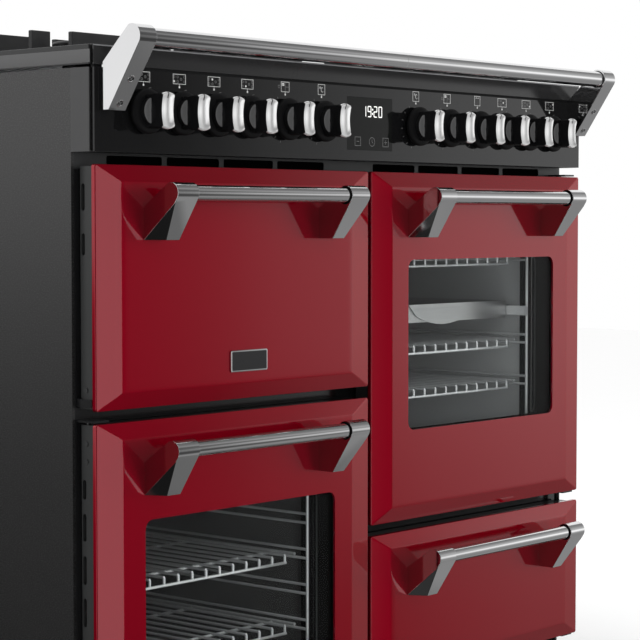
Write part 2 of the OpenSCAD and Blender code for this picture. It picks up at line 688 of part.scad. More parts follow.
module oven_racks() color("#b9bbbd") placed() {
    rack(-door_x, main_floor, [54, 101.5, 149, 196.5, 244], main_cavity_h);
    rack(door_x, tall_floor, [109, 171.5, 296.5], tall_cavity_h);
    rack(-door_x, grill_floor, [grill_shelf, grill_shelf + 40], grill_cavity_h);
    rack(door_x, slow_floor, [slow_shelf], slow_cavity_h);
    for (s = [-1, 1]) {
        x = door_x + s * (tin_runner_in + tin_runner_w / 2);
        box([x - tin_runner_w / 2, rack_front_y - 3, tall_floor + runner_z - tin_runner_h],
            [x + tin_runner_w / 2, rack_back_y, tall_floor + runner_z]);
    }
}

// Shelves: rods from front to back, turned down at the front, on cross rods
shelf_back_y = rack_back_y - 6;
shelf_drop = 10;
module shelf(cx, z, y0, y1) {
    half = cavity_w / 2 - rack_in - rod_r + 1;
    n = floor((half - 12) / rod_pitch);
    cross_half = half - 1.5;
    drop_half = n * rod_pitch + rod_r;
    for (s = [-1, 1]) rod_y([cx + s * half, y0, z], y1 - y0, rod_r);
    for (y = [y0 + 40, (y0 + y1) / 2, y1 - 4])
        rod_x([cx - cross_half, y, z - rod_r], 2 * cross_half, rod_r - 0.2);
    rod_x([cx - drop_half, y0 + 1, z - shelf_drop], 2 * drop_half, rod_r - 0.2);
    for (i = [-n:n]) {
        rod_y([cx + i * rod_pitch, y0 + 1, z], y1 - y0 - 2, rod_r - 0.3);
        rod_z([cx + i * rod_pitch, y0 + 1, z - shelf_drop], shelf_drop, rod_r - 0.3);
    }
}
module oven_shelves() color("#c4c6c8") placed() {
    for (z = main_shelves) shelf(-door_x, main_floor + z, cavity_y + 4, shelf_back_y);
    for (z = tall_shelves) shelf(door_x, tall_floor + z, cavity_y + 4, shelf_back_y);
    shelf(-door_x, grill_floor + grill_shelf, cavity_y + 4, shelf_back_y);
    shelf(door_x, slow_floor + slow_shelf, cavity_y + 4, shelf_back_y);
}

// Roasting tin: a shallow pressed tin on the runners, with a curved pull at the front
tin_w = 2 * (tin_runner_in - 1.5);
tin_deep = 26;
tin_wall = 1.5;
pull_w = 160;
pull_drop = 30;
tin_y0 = cavity_y + 12;
tin_y1 = rack_back_y - 20;
module roasting_tin() color("#b4b6b8") placed() translate([door_x, 0, tall_floor + tin_up]) {
    difference() {
        union() {
            box([-tin_w / 2, tin_y0, -tin_deep], [tin_w / 2, tin_y1, 0]);
            box([-rack_x + rack_r + 1.5, tin_y0, runner_z - tin_up + seat],
                [rack_x - rack_r - 1.5, tin_y1, runner_z - tin_up + 2]);
        }
        box([-tin_w / 2 + tin_wall, tin_y0 + tin_wall, -tin_deep + tin_wall],
            [tin_w / 2 - tin_wall, tin_y1 - tin_wall, 1]);
    }
    along_y(tin_y0 - 2, tin_y0 + eps) polygon(concat(
        [[-pull_w / 2, 0], [-pull_w / 2 + 14, -14]],
        [for (i = [-4:4]) [i * 15, -14 - (pull_drop - 14) * (1 - pow(i / 4.6, 2))]],
        [[pull_w / 2 - 14, -14], [pull_w / 2, 0]]));
}

// Grill element: one sheathed tube bent to and fro under the grill's roof
element_r = 4;
element_z = grill_floor + grill_cavity_h - 24;
element_runs = 5;
element_pitch = 56;
element_front = 50;
element_back = 75;
element_y0 = cavity_y + element_front;
element_y1 = cavity_y + cavity_d - element_back;
function element_bend(i) = let (cx = (i - (element_runs - 1) / 2) * element_pitch + element_pitch / 2,
    up = i % 2 == 0) [for (k = [0:6]) let (a = 180 - k * 30)
    [cx + element_pitch / 2 * cos(a), up ? element_y0 - element_pitch / 2 * sin(a) + 28 :
     element_y1 + element_pitch / 2 * sin(a) - 28]];
element_path = concat([[-(element_runs - 1) / 2 * element_pitch, cavity_y + cavity_d]],
    [for (i = [0:element_runs - 2]) each element_bend(i)],
    [[(element_runs - 1) / 2 * element_pitch, cavity_y + cavity_d]]);
module tube_path(path, z, r, sides) {
    n = len(path);
    dirs = [for (i = [0:n - 1]) let (a = path[max(i - 1, 0)], b = path[min(i + 1, n - 1)],
        d = b - a) d / norm(d)];
    pts = [for (i = [0:n - 1]) for (k = [0:sides - 1]) let (a = 360 * k / sides)
        [path[i][0] + r * cos(a) * dirs[i][1], path[i][1] - r * cos(a) * dirs[i][0], z + r * sin(a)]];
    walls = [for (i = [0:n - 2]) for (k = [0:sides - 1]) let (j = (k + 1) % sides)
        each [[i * sides + k, (i + 1) * sides + j, (i + 1) * sides + k],
              [i * sides + k, i * sides + j, (i + 1) * sides + j]]];
    ends = [for (k = [1:sides - 2]) each [[0, k + 1, k],
        [(n - 1) * sides, (n - 1) * sides + k, (n - 1) * sides + k + 1]]];
    polyhedron(pts, concat(walls, ends));
}
module grill_element() color("#77706a") placed() translate([-door_x, 0, 0]) {
    tube_path(element_path, element_z, element_r, 8);
    for (y = [element_y0 + 60, element_y1 - 60])
        box([-element_pitch * 2.3, y - 1.5, element_z - element_r - 3],
            [element_pitch * 2.3, y + 1.5, element_z - element_r + 0.6]);
}

// Fan covers: a slotted plate in front of the fan at the back of each fan oven
fan_r = 92;
fan_off = 14;
module fan_cover(m) translate([m[0], cavity_y + cavity_d - fan_off, m[1]]) {
    difference() {
        rotate([-90, 0, 0]) cylinder(h = sheet, r = fan_r);
        for (i = [0:15]) rotate([0, i * 22.5, 0])
            box([fan_r * 0.32, -1, -2.5], [fan_r * 0.78, sheet + 1, 2.5]);
    }
    for (i = [0:2]) rotate([0, 90 + i * 120, 0])
        rod_y([fan_r - 10, sheet - eps, 0], fan_off - sheet + eps, 4);
}
module fan_covers() color("#55575a") placed() {
    fan_cover(mouths[1]);
    fan_cover(mouths[2]);
}

// Door seals: a soft ring round each mouth, on the front frame
seal_front = liner_rear + 0.6;
module door_seals() color("#3a3a3b") placed()
    for (m = mouths) translate([m[0], 0, m[1]])
        ring_y(m[2] + 2 * seal_off, m[3] + 2 * seal_off, cavity_r + seal_off, seal_w,
               seal_front, body_setback);

// A bevelled dish: two sloping profiles that cross give the mitred corners
module dish(w, h, depth, rise) intersection() {
    linear_extrude(h) polygon([[-w / 2, depth], [-w / 2, 0], [-w / 2 + bevel_side, -rise],
        [w / 2 - bevel_side, -rise], [w / 2, 0], [w / 2, depth]]);
    along_x(-w / 2, w / 2) polygon([[depth, 0], [0, 0], [-rise, bevel_end],
        [-rise, h - bevel_end], [0, h], [depth, h]]);
}

// Door skin: the bevelled enamelled front, its folded edge and, on an oven, the window
fold_t = 1.2;
module skin(h, window_base) {
    difference() {
        dish(door_w, h, skin_fold, field_rise);
        translate([0, skin_t, skin_t])
            dish(door_w - 2 * skin_t, h - 2 * skin_t, skin_fold, field_rise);
        if (window_base > 0)
            translate([0, 0, window_base + window_h(h, window_base) / 2])
                along_y(-field_rise - 1, 1) polygon(rounded(window_w, window_h(h, window_base), window_r));
    }
    difference() {
        box([-door_w / 2 + skin_t - eps, skin_fold - fold_t, skin_t - eps],
            [door_w / 2 - skin_t + eps, skin_fold, h - skin_t + eps]);
        box([-liner_w / 2, 0, liner_end_inset], [liner_w / 2, skin_fold + 1, h - liner_end_inset]);
    }
    if (window_base > 0)
        translate([0, 0, window_base + window_h(h, window_base) / 2])
            ring_y(window_w, window_h(h, window_base), window_r, skin_t,
                   -field_rise + skin_t - eps, -field_rise + 3);
}
function window_h(h, base) = h - window_top - base;

// Door liner: the steel pan behind the skin, with the bushes for the pins
sleeve_gap = 3;
bush = 13;
screw_y = 24;
slot_y = 28;
grill_slots = [[22, 32], [80, 26]];
oven_slots = [[67, 23], [107, 33], [157, 34], [207, 34]];
slow_slots = [[67, 23], [107, 33]];
grill_screws = [264];
oven_screws = [24, 45];
liner_front = 1.5;
pane_y = 3 - field_rise;
module bushed(h, upright) {
    for (z = [liner_end_inset, h - liner_end_inset - bush]) if (upright != 0)
        box([upright > 0 ? liner_w / 2 - bush - 1 : -liner_w / 2, side_pin_y - bush / 2, z],
            [upright > 0 ? liner_w / 2 : 1 + bush - liner_w / 2, liner_rear, z + bush]);
    if (upright == 0) for (s = [-1, 1])
        box([s > 0 ? liner_w / 2 - bush : -liner_w / 2, grill_pin_y - bush / 2, liner_end_inset],
            [s > 0 ? liner_w / 2 : bush - liner_w / 2, grill_pin_y + bush / 2, grill_pin_up + bush / 2]);
}
slot_wide = 6;
screw_r = 3.2;
screw_head = 1.2;
module liner(h, window_base, upright, slots, screws) difference() {
    union() {
        for (s = [-1, 1], d = screws)
            rod_x([s > 0 ? liner_w / 2 - eps : -liner_w / 2 - screw_head, screw_y, h - d],
                  screw_head + eps, screw_r);
        difference() {
            box([-liner_w / 2, liner_front, liner_end_inset],
                [liner_w / 2, liner_rear, h - liner_end_inset]);
            box([-liner_w / 2 + liner_t, liner_front - 1, liner_end_inset + liner_t],
                [liner_w / 2 - liner_t, liner_rear - liner_t, h - liner_end_inset - liner_t]);
        }
        bushed(h, upright);
        if (window_base > 0)
            translate([0, 0, window_base + window_h(h, window_base) / 2])
                along_y(pane_y + glass_t, liner_rear - eps)
                    polygon(rounded(window_w + 2 * (sleeve_gap + liner_t),
                        window_h(h, window_base) + 2 * (sleeve_gap + liner_t),
                        window_r + sleeve_gap + liner_t));
    }
    if (window_base > 0)
        translate([0, 0, window_base + window_h(h, window_base) / 2])
            along_y(pane_y, liner_rear + 1) polygon(rounded(window_w + 2 * sleeve_gap,
                window_h(h, window_base) + 2 * sleeve_gap, window_r + sleeve_gap));
    if (upright != 0)
        for (z = [liner_end_inset - 1, h - liner_end_inset - pin_depth - 1])
            rod_z([upright * (door_w / 2 - side_pin_in), side_pin_y, z], pin_depth + 2, pin_r + pin_clear);
    if (upright == 0) for (s = [-1, 1])
        rod_x([s > 0 ? liner_w / 2 - ear_pin + 1 : -liner_w / 2 - 1, grill_pin_y, grill_pin_up],
              ear_pin, pin_r + pin_clear);
    for (s = [-1, 1], d = slots)
        translate([s * liner_w / 2, slot_y, h - d[0] - d[1] / 2])
            along_x(-liner_t - 1, liner_t + 1) polygon(rounded(slot_wide, d[1], slot_wide / 2));
}

// Window panes: the outer one behind the skin and the inner one in the liner's rear
pane_lap = 9;
module panes(h, window_base) translate([0, 0, window_base + window_h(h, window_base) / 2]) {
    along_y(pane_y, pane_y + glass_t) polygon(rounded(window_w + 2 * pane_lap,
        window_h(h, window_base) + 2 * pane_lap, window_r + pane_lap));
    along_y(liner_rear - glass_t, liner_rear) polygon(rounded(window_w + 2 * sleeve_gap - 0.2,
        window_h(h, window_base) + 2 * sleeve_gap - 0.2, window_r + sleeve_gap));
}

// Door handle: a round bar in two brackets, each with its lower outer corner cut away
foot_front = 30;
facet_in = 13;
facet_up = 41;
foot_under_bar = 16.5;
bar_socket = 8;
module handle(h) {
    bar_z = h - handle_drop;
    foot_z = bar_z - foot_under_bar - handle_foot_h;
    rod_x([-handle_w / 2 + bar_socket, -handle_reach, bar_z], handle_w - 2 * bar_socket, handle_bar_r);
    for (s = [-1, 1]) difference() {
        along_x(s > 0 ? handle_w / 2 - handle_bracket_w : -handle_w / 2,
                s > 0 ? handle_w / 2 : handle_bracket_w - handle_w / 2)
            polygon(concat([[-field_rise, foot_z + handle_foot_h], [-field_rise, foot_z],
                [-foot_front, foot_z]], arc(-handle_reach, bar_z, handle_collar_r, 208, 60, 12)));
        facet(s, foot_z);
    }
}

// The cut that leaves a triangular facet on a bracket's outer side, front and bottom
module facet(s, foot_z) {
    a = [handle_w / 2, -field_rise, foot_z];
    b = [handle_w / 2, -55, foot_z + facet_up];
    c = [handle_w / 2 - facet_in, -foot_front, foot_z];
    u = cross(b - a, c - a);
    d = u[0] > 0 ? u : -u;
    mirror([s > 0 ? 0 : 1, 0, 0]) translate(a)
        rotate([0, acos(d[2] / norm(d)), atan2(d[1], d[0])]) translate([-100, -100, 0]) cube([200, 200, 60]);
}

// Each door sits at its place in the front
module on_left(z) placed() translate([-door_x, 0, z]) children();
module on_right(z) placed() translate([door_x, 0, z]) children();
red = "#7d0d1a";
dark = "#2a2c2d";
bright = "#c9cbce";
clear_glass = "#31343740";
module grill_door_skin() color(red) on_left(grill_z) skin(grill_door_h, 0);
module grill_door_liner() color(dark) on_left(grill_z) liner(grill_door_h, 0, 0, grill_slots, grill_screws);
module grill_door_handle() color(bright) on_left(grill_z) handle(grill_door_h);
module main_door_skin() color(red) on_left(door_base) skin(main_door_h, main_window_base);
module main_door_liner() color(dark) on_left(door_base)
    liner(main_door_h, main_window_base, -1, oven_slots, oven_screws);
module main_door_handle() color(bright) on_left(door_base) handle(main_door_h);
module main_door_glass() color(clear_glass) on_left(door_base) panes(main_door_h, main_window_base);
module tall_door_skin() color(red) on_right(tall_z) skin(tall_door_h, tall_window_base);
module tall_door_liner() color(dark) on_right(tall_z)
    liner(tall_door_h, tall_window_base, 1, oven_slots, oven_screws);
module tall_door_handle() color(bright) on_right(tall_z) handle(tall_door_h);
module tall_door_glass() color(clear_glass) on_right(tall_z) panes(tall_door_h, tall_window_base);
module slow_door_skin() color(red) on_right(door_base) skin(slow_door_h, 0);
module slow_door_liner() color(dark) on_right(door_base) liner(slow_door_h, 0, 1, slow_slots, oven_screws);
module slow_door_handle() color(bright) on_right(door_base) handle(slow_door_h);

// Spindles: the shaft of each gas tap, which a push moves in before it turns
socket_depth = 16;
grip_end = 2.5;
grip_hollow = 2.4;
dome_rise = 2;
scoop_across = 15.6;
scoop_along = 50;
scoop_deep = 1;
pointer = [1.6, 2.1, 8];
module spindle(x) color("#9a9c9e") placed()
    rod_y([x, -knob_gap - socket_depth, knob_z],
          knob_gap + socket_depth + tap_front_y + spindle_in, spindle_r);

// Knobs: a turned skirt and a domed body under a wide grip bar. The bar's front is hollowed
// along its length, scooped in the middle and slotted at the upper end.
module knob(x, shaft) color("#232425") placed() translate([x, -knob_gap, knob_z]) {
    difference() {
        union() {
            rotate([90, 0, 0]) rotate_extrude() polygon(concat(
                [[0, 0], [knob_skirt_r - 1, 0], [knob_skirt_r, 1], [knob_skirt_r, 4],
                 [knob_skirt_r - 2, 6.5], [knob_body_r + 1.5, 8], [knob_body_r, 10],
                 [knob_body_r, knob_body_l - 1]],
                [for (i = [0:5]) let (t = 1 - i / 5)
                    [(knob_body_r - 1) * t, knob_body_l + dome_rise * (1 - t * t)]]));
            along_x(-grip_w / 2, grip_w / 2) polygon(concat(
                [[-6, -grip_l / 2 + 1], [-6, grip_l / 2 - 1]],
                arc(grip_end - knob_len, grip_l / 2 - grip_end, grip_end, 90, 180, 5),
                [for (i = [1:9]) let (t = i / 5 - 1)
                    [-knob_len + grip_hollow * (1 - t * t), -t * (grip_l / 2 - grip_end)]],
                arc(grip_end - knob_len, grip_end - grip_l / 2, grip_end, 180, 270, 5)));
        }
        translate([0, grip_hollow - knob_len + scoop_deep - scoop_along, 0]) rotate([0, 90, 0])
            rotate_extrude($fn = 72) translate([scoop_along - scoop_across, 0]) circle(scoop_across);
        box([-pointer[0] / 2, -knob_len - 1, grip_l / 2 - pointer[2]],
            [pointer[0] / 2, pointer[1] - knob_len, grip_l / 2 + 1]);
        if (!shaft) rod_y([0, -socket_depth - 0.2, 0], socket_depth + 1, spindle_r + pin_clear);
    }
    if (shaft) rod_y([0, -eps, 0], knob_gap + inner_y + 20, spindle_r);
}

side_panels();
back_panel();
front_frame();
base_frame();
plinth();
levelling_feet();
vent_rail();
control_housing();
fascia_panel();
clock_display();
rail_bar();
rail_brackets();
hob_tray();
gas_manifold();
burner_bodies();
burner_caps();
pan_supports();
grill_cavity();
main_oven_cavity();
tall_oven_cavity();
slow_oven_cavity();
oven_racks();
oven_shelves();
roasting_tin();
grill_element();
fan_covers();
door_seals();
grill_door_skin();
grill_door_liner();
grill_door_handle();
main_door_skin();
main_door_liner();
main_door_handle();
main_door_glass();
tall_door_skin();
tall_door_liner();
tall_door_handle();
tall_door_glass();
slow_door_skin();
slow_door_liner();
slow_door_handle();
spindle(gas_knobs[0]);  // rear_left_spindle
spindle(gas_knobs[1]);  // front_left_spindle
spindle(gas_knobs[2]);  // rear_mid_spindle
spindle(gas_knobs[3]);  // front_mid_spindle
spindle(gas_knobs[4]);  // wok_spindle
spindle(gas_knobs[5]);  // front_right_spindle
spindle(gas_knobs[6]);  // rear_right_spindle
knob(gas_knobs[0], false);  // rear_left_knob
knob(gas_knobs[1], false);  // front_left_knob
knob(gas_knobs[2], false);  // rear_mid_knob
knob(gas_knobs[3], false);  // front_mid_knob
knob(switch_knobs[0], true);  // main_function_knob
knob(switch_knobs[1], true);  // main_heat_knob
knob(switch_knobs[2], true);  // tall_heat_knob
knob(switch_knobs[3], true);  // tall_function_knob
knob(switch_knobs[4], true);  // grill_knob
knob(gas_knobs[4], false);  // wok_knob
knob(gas_knobs[5], false);  // front_right_knob
knob(gas_knobs[6], false);  // rear_right_knob
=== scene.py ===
# A free-standing range cooker: four enamelled doors, three of them hinged at the side,
# a gas hob on top, twelve knobs on a gloss fascia and a chromed rail along the front.
import json
import math

import bmesh
import bpy
import numpy as np
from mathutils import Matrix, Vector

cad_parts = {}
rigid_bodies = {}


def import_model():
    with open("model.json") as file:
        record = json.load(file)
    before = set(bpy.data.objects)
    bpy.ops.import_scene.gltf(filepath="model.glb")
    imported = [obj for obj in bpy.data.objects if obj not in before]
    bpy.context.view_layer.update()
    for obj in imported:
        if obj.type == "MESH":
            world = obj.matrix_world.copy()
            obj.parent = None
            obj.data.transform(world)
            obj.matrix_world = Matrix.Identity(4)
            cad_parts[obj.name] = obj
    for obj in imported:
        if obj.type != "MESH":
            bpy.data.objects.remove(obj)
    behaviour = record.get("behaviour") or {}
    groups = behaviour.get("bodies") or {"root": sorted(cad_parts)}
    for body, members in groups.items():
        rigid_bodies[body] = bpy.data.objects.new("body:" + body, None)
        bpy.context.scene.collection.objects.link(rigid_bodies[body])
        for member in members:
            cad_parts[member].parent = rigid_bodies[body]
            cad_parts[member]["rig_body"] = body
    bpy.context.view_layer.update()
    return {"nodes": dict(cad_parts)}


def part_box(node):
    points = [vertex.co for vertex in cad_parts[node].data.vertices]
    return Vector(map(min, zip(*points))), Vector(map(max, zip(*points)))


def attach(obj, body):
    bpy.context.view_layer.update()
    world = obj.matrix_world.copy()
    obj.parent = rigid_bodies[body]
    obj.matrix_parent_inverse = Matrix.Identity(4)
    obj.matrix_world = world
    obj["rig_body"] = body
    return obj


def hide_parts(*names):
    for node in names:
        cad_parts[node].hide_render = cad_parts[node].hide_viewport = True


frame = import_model()
nodes = frame["nodes"]

# The camera stands to the left of the cooker, level with the top of the doors, with a
# long lens. It looks slightly down, so the hob is seen from just under its top.
lens = bpy.data.cameras.new("camera")
lens.sensor_width = 36.0
lens.lens = 114.77
lens.clip_start, lens.clip_end = 0.1, 60.0
camera = bpy.data.objects.new("camera", lens)
camera.location = (-2.1048, -2.0102, 0.7025)
camera.rotation_euler = (math.radians(90 - 2.811), 0.0, math.radians(-48.949))
bpy.context.scene.collection.objects.link(camera)
bpy.context.scene.camera = camera
bpy.context.scene.view_settings.view_transform = "Standard"

# The studio: an even white surround for matt surfaces. Gloss enamel and chrome mirror a
# darker room: a bright band at eye height to the right, a tall narrow panel nearer to the
# middle, a haze high up and far to the left, white behind, and little light from below.
studio = bpy.data.worlds.new("studio")
bpy.context.scene.world = studio
studio.use_nodes = True
sky = studio.node_tree
sky.nodes.clear()


def sky_sum(kind, a, b=None):
    """One Math node of the surround: kind of a and b, where each is a number or a socket."""
    n = sky.nodes.new("ShaderNodeMath")
    n.operation = kind
    for slot, value in zip(n.inputs, (a, b)):
        if value is None:
            continue
        if isinstance(value, (int, float)):
            slot.default_value = value
        else:
            sky.links.new(value, slot)
    return n.outputs[0]


def sky_ramp(source, low, high, stops):
    """Brightness between stops (value, brightness), halved in the ramp and doubled after it,
    as the source goes from low to high."""
    n = sky.nodes.new("ShaderNodeValToRGB")
    n.color_ramp.interpolation = "LINEAR"
    while len(n.color_ramp.elements) < len(stops):
        n.color_ramp.elements.new(0.5)
    for e, (value, bright) in zip(n.color_ramp.elements, stops):
        e.position = (value - low) / (high - low)
        e.color = (bright / 2, bright / 2, bright / 2, 1)
    sky.links.new(sky_sum("DIVIDE", sky_sum("SUBTRACT", source, low), high - low), n.inputs[0])
    return sky_sum("MULTIPLY", n.outputs[0], 2.0)


heading = sky.nodes.new("ShaderNodeTexCoord").outputs["Generated"]
parts = sky.nodes.new("ShaderNodeSeparateXYZ")
sky.links.new(heading, parts.inputs[0])
east, north, up = parts.outputs
# Degrees from straight ahead of the doors towards the right
turn = sky_sum("DEGREES", sky_sum("ARCTAN2", east, sky_sum("MULTIPLY", north, -1.0)))
panel = sky_ramp(turn, -90, 90, [(-90, 0), (12, 0), (20, 1.25), (33.5, 1.25), (35.5, 0), (90, 0)])
panel_height = sky_ramp(up, -1, 1, [(-1, 0), (-0.75, 0), (-0.6, 1), (0.25, 1), (0.4, 0), (1, 0)])
band = sky_ramp(turn, -90, 90, [(-90, 0), (41, 0.02), (44, 0.13), (45.5, 0.22), (46.5, 0.32),
                                (47.6, 0.5), (50, 0.7), (52, 0.86), (56, 0.95), (62, 0.7),
                                (75, 0.6), (90, 0.6)])
band_height = sky_ramp(up, -1, 1, [(-1, 0), (-0.66, 0.02), (-0.4, 0.06), (-0.26, 0.1),
                                   (-0.19, 0.2), (-0.12, 0.5), (-0.06, 0.85), (0, 1), (0.09, 1),
                                   (0.16, 0.52), (0.27, 0.2), (0.4, 0.12), (0.6, 0.07), (1, 0)])
haze = sky_ramp(turn, -90, 90, [(-90, 0.8), (-70, 0.4), (-58, 0.08), (-20, 0.02), (50, 0.02),
                                (55, 0.22), (90, 0.25)])
haze_height = sky_ramp(up, -1, 1, [(-1, 0.03), (-0.75, 0.08), (-0.69, 0.6), (-0.64, 0.6),
                                   (-0.61, 1.1), (-0.5, 1), (0.1, 1.1), (0.36, 1.5), (0.55, 0.8),
                                   (0.7, 0.5), (0.85, 1.6), (1, 2)])
before = sky_sum("ADD", sky_sum("MULTIPLY", band, band_height),
                 sky_sum("MULTIPLY", haze, haze_height))
before = sky_sum("ADD", before, sky_sum("MULTIPLY", panel, panel_height))
beside = sky_ramp(east, -1, 1, [(-1, 1), (-0.9, 1), (-0.78, 0), (1, 0)])
raised = sky_sum("ADD", up, sky_sum("MULTIPLY", beside, 0.55))
after = sky_ramp(raised, -1, 1, [(-1, 0.01), (-0.12, 0.01), (-0.06, 0.12), (-0.02, 0.45),
                                 (0.02, 0.85), (0.06, 0.98), (1, 1)])
behind = sky_sum("GREATER_THAN", north, 0.02)
mirrored = sky_sum("ADD", sky_sum("MULTIPLY", behind, after),
                   sky_sum("MULTIPLY", sky_sum("SUBTRACT", 1.0, behind), before))
rays = sky.nodes.new("ShaderNodeLightPath")
seen = sky_sum("MAXIMUM", rays.outputs["Is Camera Ray"], rays.outputs["Is Transmission Ray"])
glossy = rays.outputs["Is Glossy Ray"]
surround = 0.98
strength = sky_sum("ADD", sky_sum("MULTIPLY", glossy, mirrored),
                   sky_sum("MULTIPLY", sky_sum("SUBTRACT", 1.0, glossy), surround))
strength = sky_sum("MAXIMUM", strength, seen)
glow = sky.nodes.new("ShaderNodeBackground")
glow.inputs["Color"].default_value = (1, 1, 1, 1)
sky.links.new(strength, glow.inputs["Strength"])
sky.links.new(glow.outputs[0], sky.nodes.new("ShaderNodeOutputWorld").inputs[0])


def hung_lamp(name, shape, wide, deep, watts, place):
    """A flat lamp that faces down at the place, and that nothing mirrors."""
    lamp = bpy.data.lights.new(name, "AREA")
    lamp.shape = shape
    lamp.size, lamp.size_y = wide, deep
    lamp.energy = watts
    holder = bpy.data.objects.new(name, lamp)
    holder.location = place
    holder.visible_glossy = False
    bpy.context.scene.collection.objects.link(holder)
    return holder


lamp_aim = np.array([0.0, 0.0, 0.55])
for name, place, size, watts in [("key_lamp", (-1.6, -3.6, 2.9), 2.4, 24.0),
                                 ("right_lamp", (2.8, -2.6, 1.6), 2.0, 8.0),
                                 ("top_lamp", (0.2, 0.6, 3.4), 2.2, 12.0)]:
    holder = hung_lamp(name, "SQUARE", size, size, watts, place)
    aim = lamp_aim - np.array(place)
    holder.rotation_euler = (math.acos(-aim[2] / np.linalg.norm(aim)), 0.0,
                             math.atan2(aim[1], aim[0]) - math.pi / 2)


# The floor: one pale matt sheet under the cooker. It is far wider than the cooker, keeps
# its soft shadow, and isn't mirrored in the chrome.
def woven(name, rings, finish, across=False, caps=True, sharp=35.0):
    """A surface through rings of points. rings[k, i] is point i of ring k. Neighbours on
    two rings join as (k, i), (k, i+1), (k+1, i+1), (k+1, i). The first and last rings are
    joined to each other when across is set and closed by one face each when caps is set.
    A closed surface is turned so that the volume sum of a.(b x c)/6 comes out positive."""
    rings = np.asarray(rings, float)
    m, n = rings.shape[:2]
    k = np.arange(m if across else m - 1)[:, None]
    i = np.arange(n)[None, :]
    j, k2 = (i + 1) % n, (k + 1) % m
    quads = np.stack(np.broadcast_arrays(k * n + i, k * n + j, k2 * n + j, k2 * n + i), -1)
    faces = quads.reshape(-1, 4).tolist()
    if caps and not across:
        faces += [list(range(n))[::-1], list(range((m - 1) * n, m * n))]
    mesh = bpy.data.meshes.new(name)
    mesh.from_pydata(rings.reshape(-1, 3).tolist(), [], faces)
    mesh.calc_loop_triangles()
    tri = np.array([t.vertices[:] for t in mesh.loop_triangles])
    p = rings.reshape(-1, 3)[tri]
    if np.einsum("ij,ij->i", p[:, 0], np.cross(p[:, 1], p[:, 2])).sum() < 0:
        mesh.flip_normals()
    mesh.polygons.foreach_set("use_smooth", np.ones(len(mesh.polygons), bool))
    mesh.set_sharp_from_angle(angle=math.radians(sharp))
    mesh.materials.append(finish)
    made = bpy.data.objects.new(name, mesh)
    bpy.context.scene.collection.objects.link(made)
    return made


def coating(name, tones, rough, metallic=0.0, scale=9.0, stretch=(1, 1, 1), grain=0.0,
            grain_size=900.0, coat=0.0, coat_rough=0.03, specks=0.0, speck_size=500.0,
            spread=0.04, reflect=0.5, edge_tint=(1, 1, 1)):
    """A finish in Object coordinates. Colour runs between the two tones with slow noise of
    the given scale, roughness is rough plus or minus spread with finer noise, bump follows
    grain_size noise grain metres deep, and specks lightens scattered cells of the surface."""
    mat = bpy.data.materials.new(name)
    mat.use_nodes = True
    tree = mat.node_tree
    shader = tree.nodes["Principled BSDF"]
    shader.inputs["Metallic"].default_value = metallic
    shader.inputs["Coat Weight"].default_value = coat
    shader.inputs["Coat Roughness"].default_value = coat_rough
    shader.inputs["Specular IOR Level"].default_value = reflect
    shader.inputs["Specular Tint"].default_value = (*edge_tint, 1)
    where = tree.nodes.new("ShaderNodeTexCoord").outputs["Object"]
    turned = tree.nodes.new("ShaderNodeMapping")
    turned.inputs["Scale"].default_value = stretch
    tree.links.new(where, turned.inputs[0])

    def noise(size, detail, source):
        n = tree.nodes.new("ShaderNodeTexNoise")
        n.inputs["Scale"].default_value = size
        n.inputs["Detail"].default_value = detail
        tree.links.new(source, n.inputs["Vector"])
        return n.outputs["Fac"]

    slow = noise(scale, 3.0, turned.outputs[0])
    ramp = tree.nodes.new("ShaderNodeValToRGB")
    ramp.color_ramp.elements[0].position = 0.3
    ramp.color_ramp.elements[1].position = 0.7
    ramp.color_ramp.elements[0].color = (*tones[0], 1)
    ramp.color_ramp.elements[1].color = (*tones[1], 1)
    tree.links.new(slow, ramp.inputs[0])
    colour = ramp.outputs[0]
    if specks:
        cells = tree.nodes.new("ShaderNodeTexVoronoi")
        cells.inputs["Scale"].default_value = speck_size
        tree.links.new(where, cells.inputs["Vector"])
        dot = tree.nodes.new("ShaderNodeValToRGB")
        dot.color_ramp.elements[0].position = 0.12
        dot.color_ramp.elements[0].color = (specks, specks, specks, 1)
        dot.color_ramp.elements[1].position = 0.2
        dot.color_ramp.elements[1].color = (0, 0, 0, 1)
        tree.links.new(cells.outputs["Distance"], dot.inputs[0])
        lift = tree.nodes.new("ShaderNodeMix")
        lift.data_type = "RGBA"
        lift.blend_type = "ADD"
        lift.inputs[0].default_value = 1.0
        tree.links.new(colour, lift.inputs[6])
        tree.links.new(dot.outputs[0], lift.inputs[7])
        colour = lift.outputs[2]
    tree.links.new(colour, shader.inputs["Base Color"])
    fine = noise(grain_size, 4.0, turned.outputs[0])
    level = tree.nodes.new("ShaderNodeMapRange")
    level.inputs["To Min"].default_value = max(rough - spread, 0.01)
    level.inputs["To Max"].default_value = rough + spread
    tree.links.new(slow if grain == 0 else fine, level.inputs["Value"])
    tree.links.new(level.outputs[0], shader.inputs["Roughness"])
    if grain:
        bump = tree.nodes.new("ShaderNodeBump")
        bump.inputs["Strength"].default_value = 1.0
        bump.inputs["Distance"].default_value = grain
        tree.links.new(fine, bump.inputs["Height"])
        tree.links.new(bump.outputs[0], shader.inputs["Normal"])
    return mat


floor_paint = coating("floor_paint", [(0.985, 0.985, 0.985), (0.99, 0.99, 0.99)], 0.9,
                      reflect=0.0)
floor_half, floor_thick = 9.0, 0.02
floor_edge = [(-floor_half, -floor_half), (floor_half, -floor_half),
              (floor_half, floor_half), (-floor_half, floor_half)]
floor = woven("floor", [[(x, y, z) for x, y in floor_edge] for z in (-floor_thick, 0.0)],
              floor_paint)
floor.visible_glossy = False


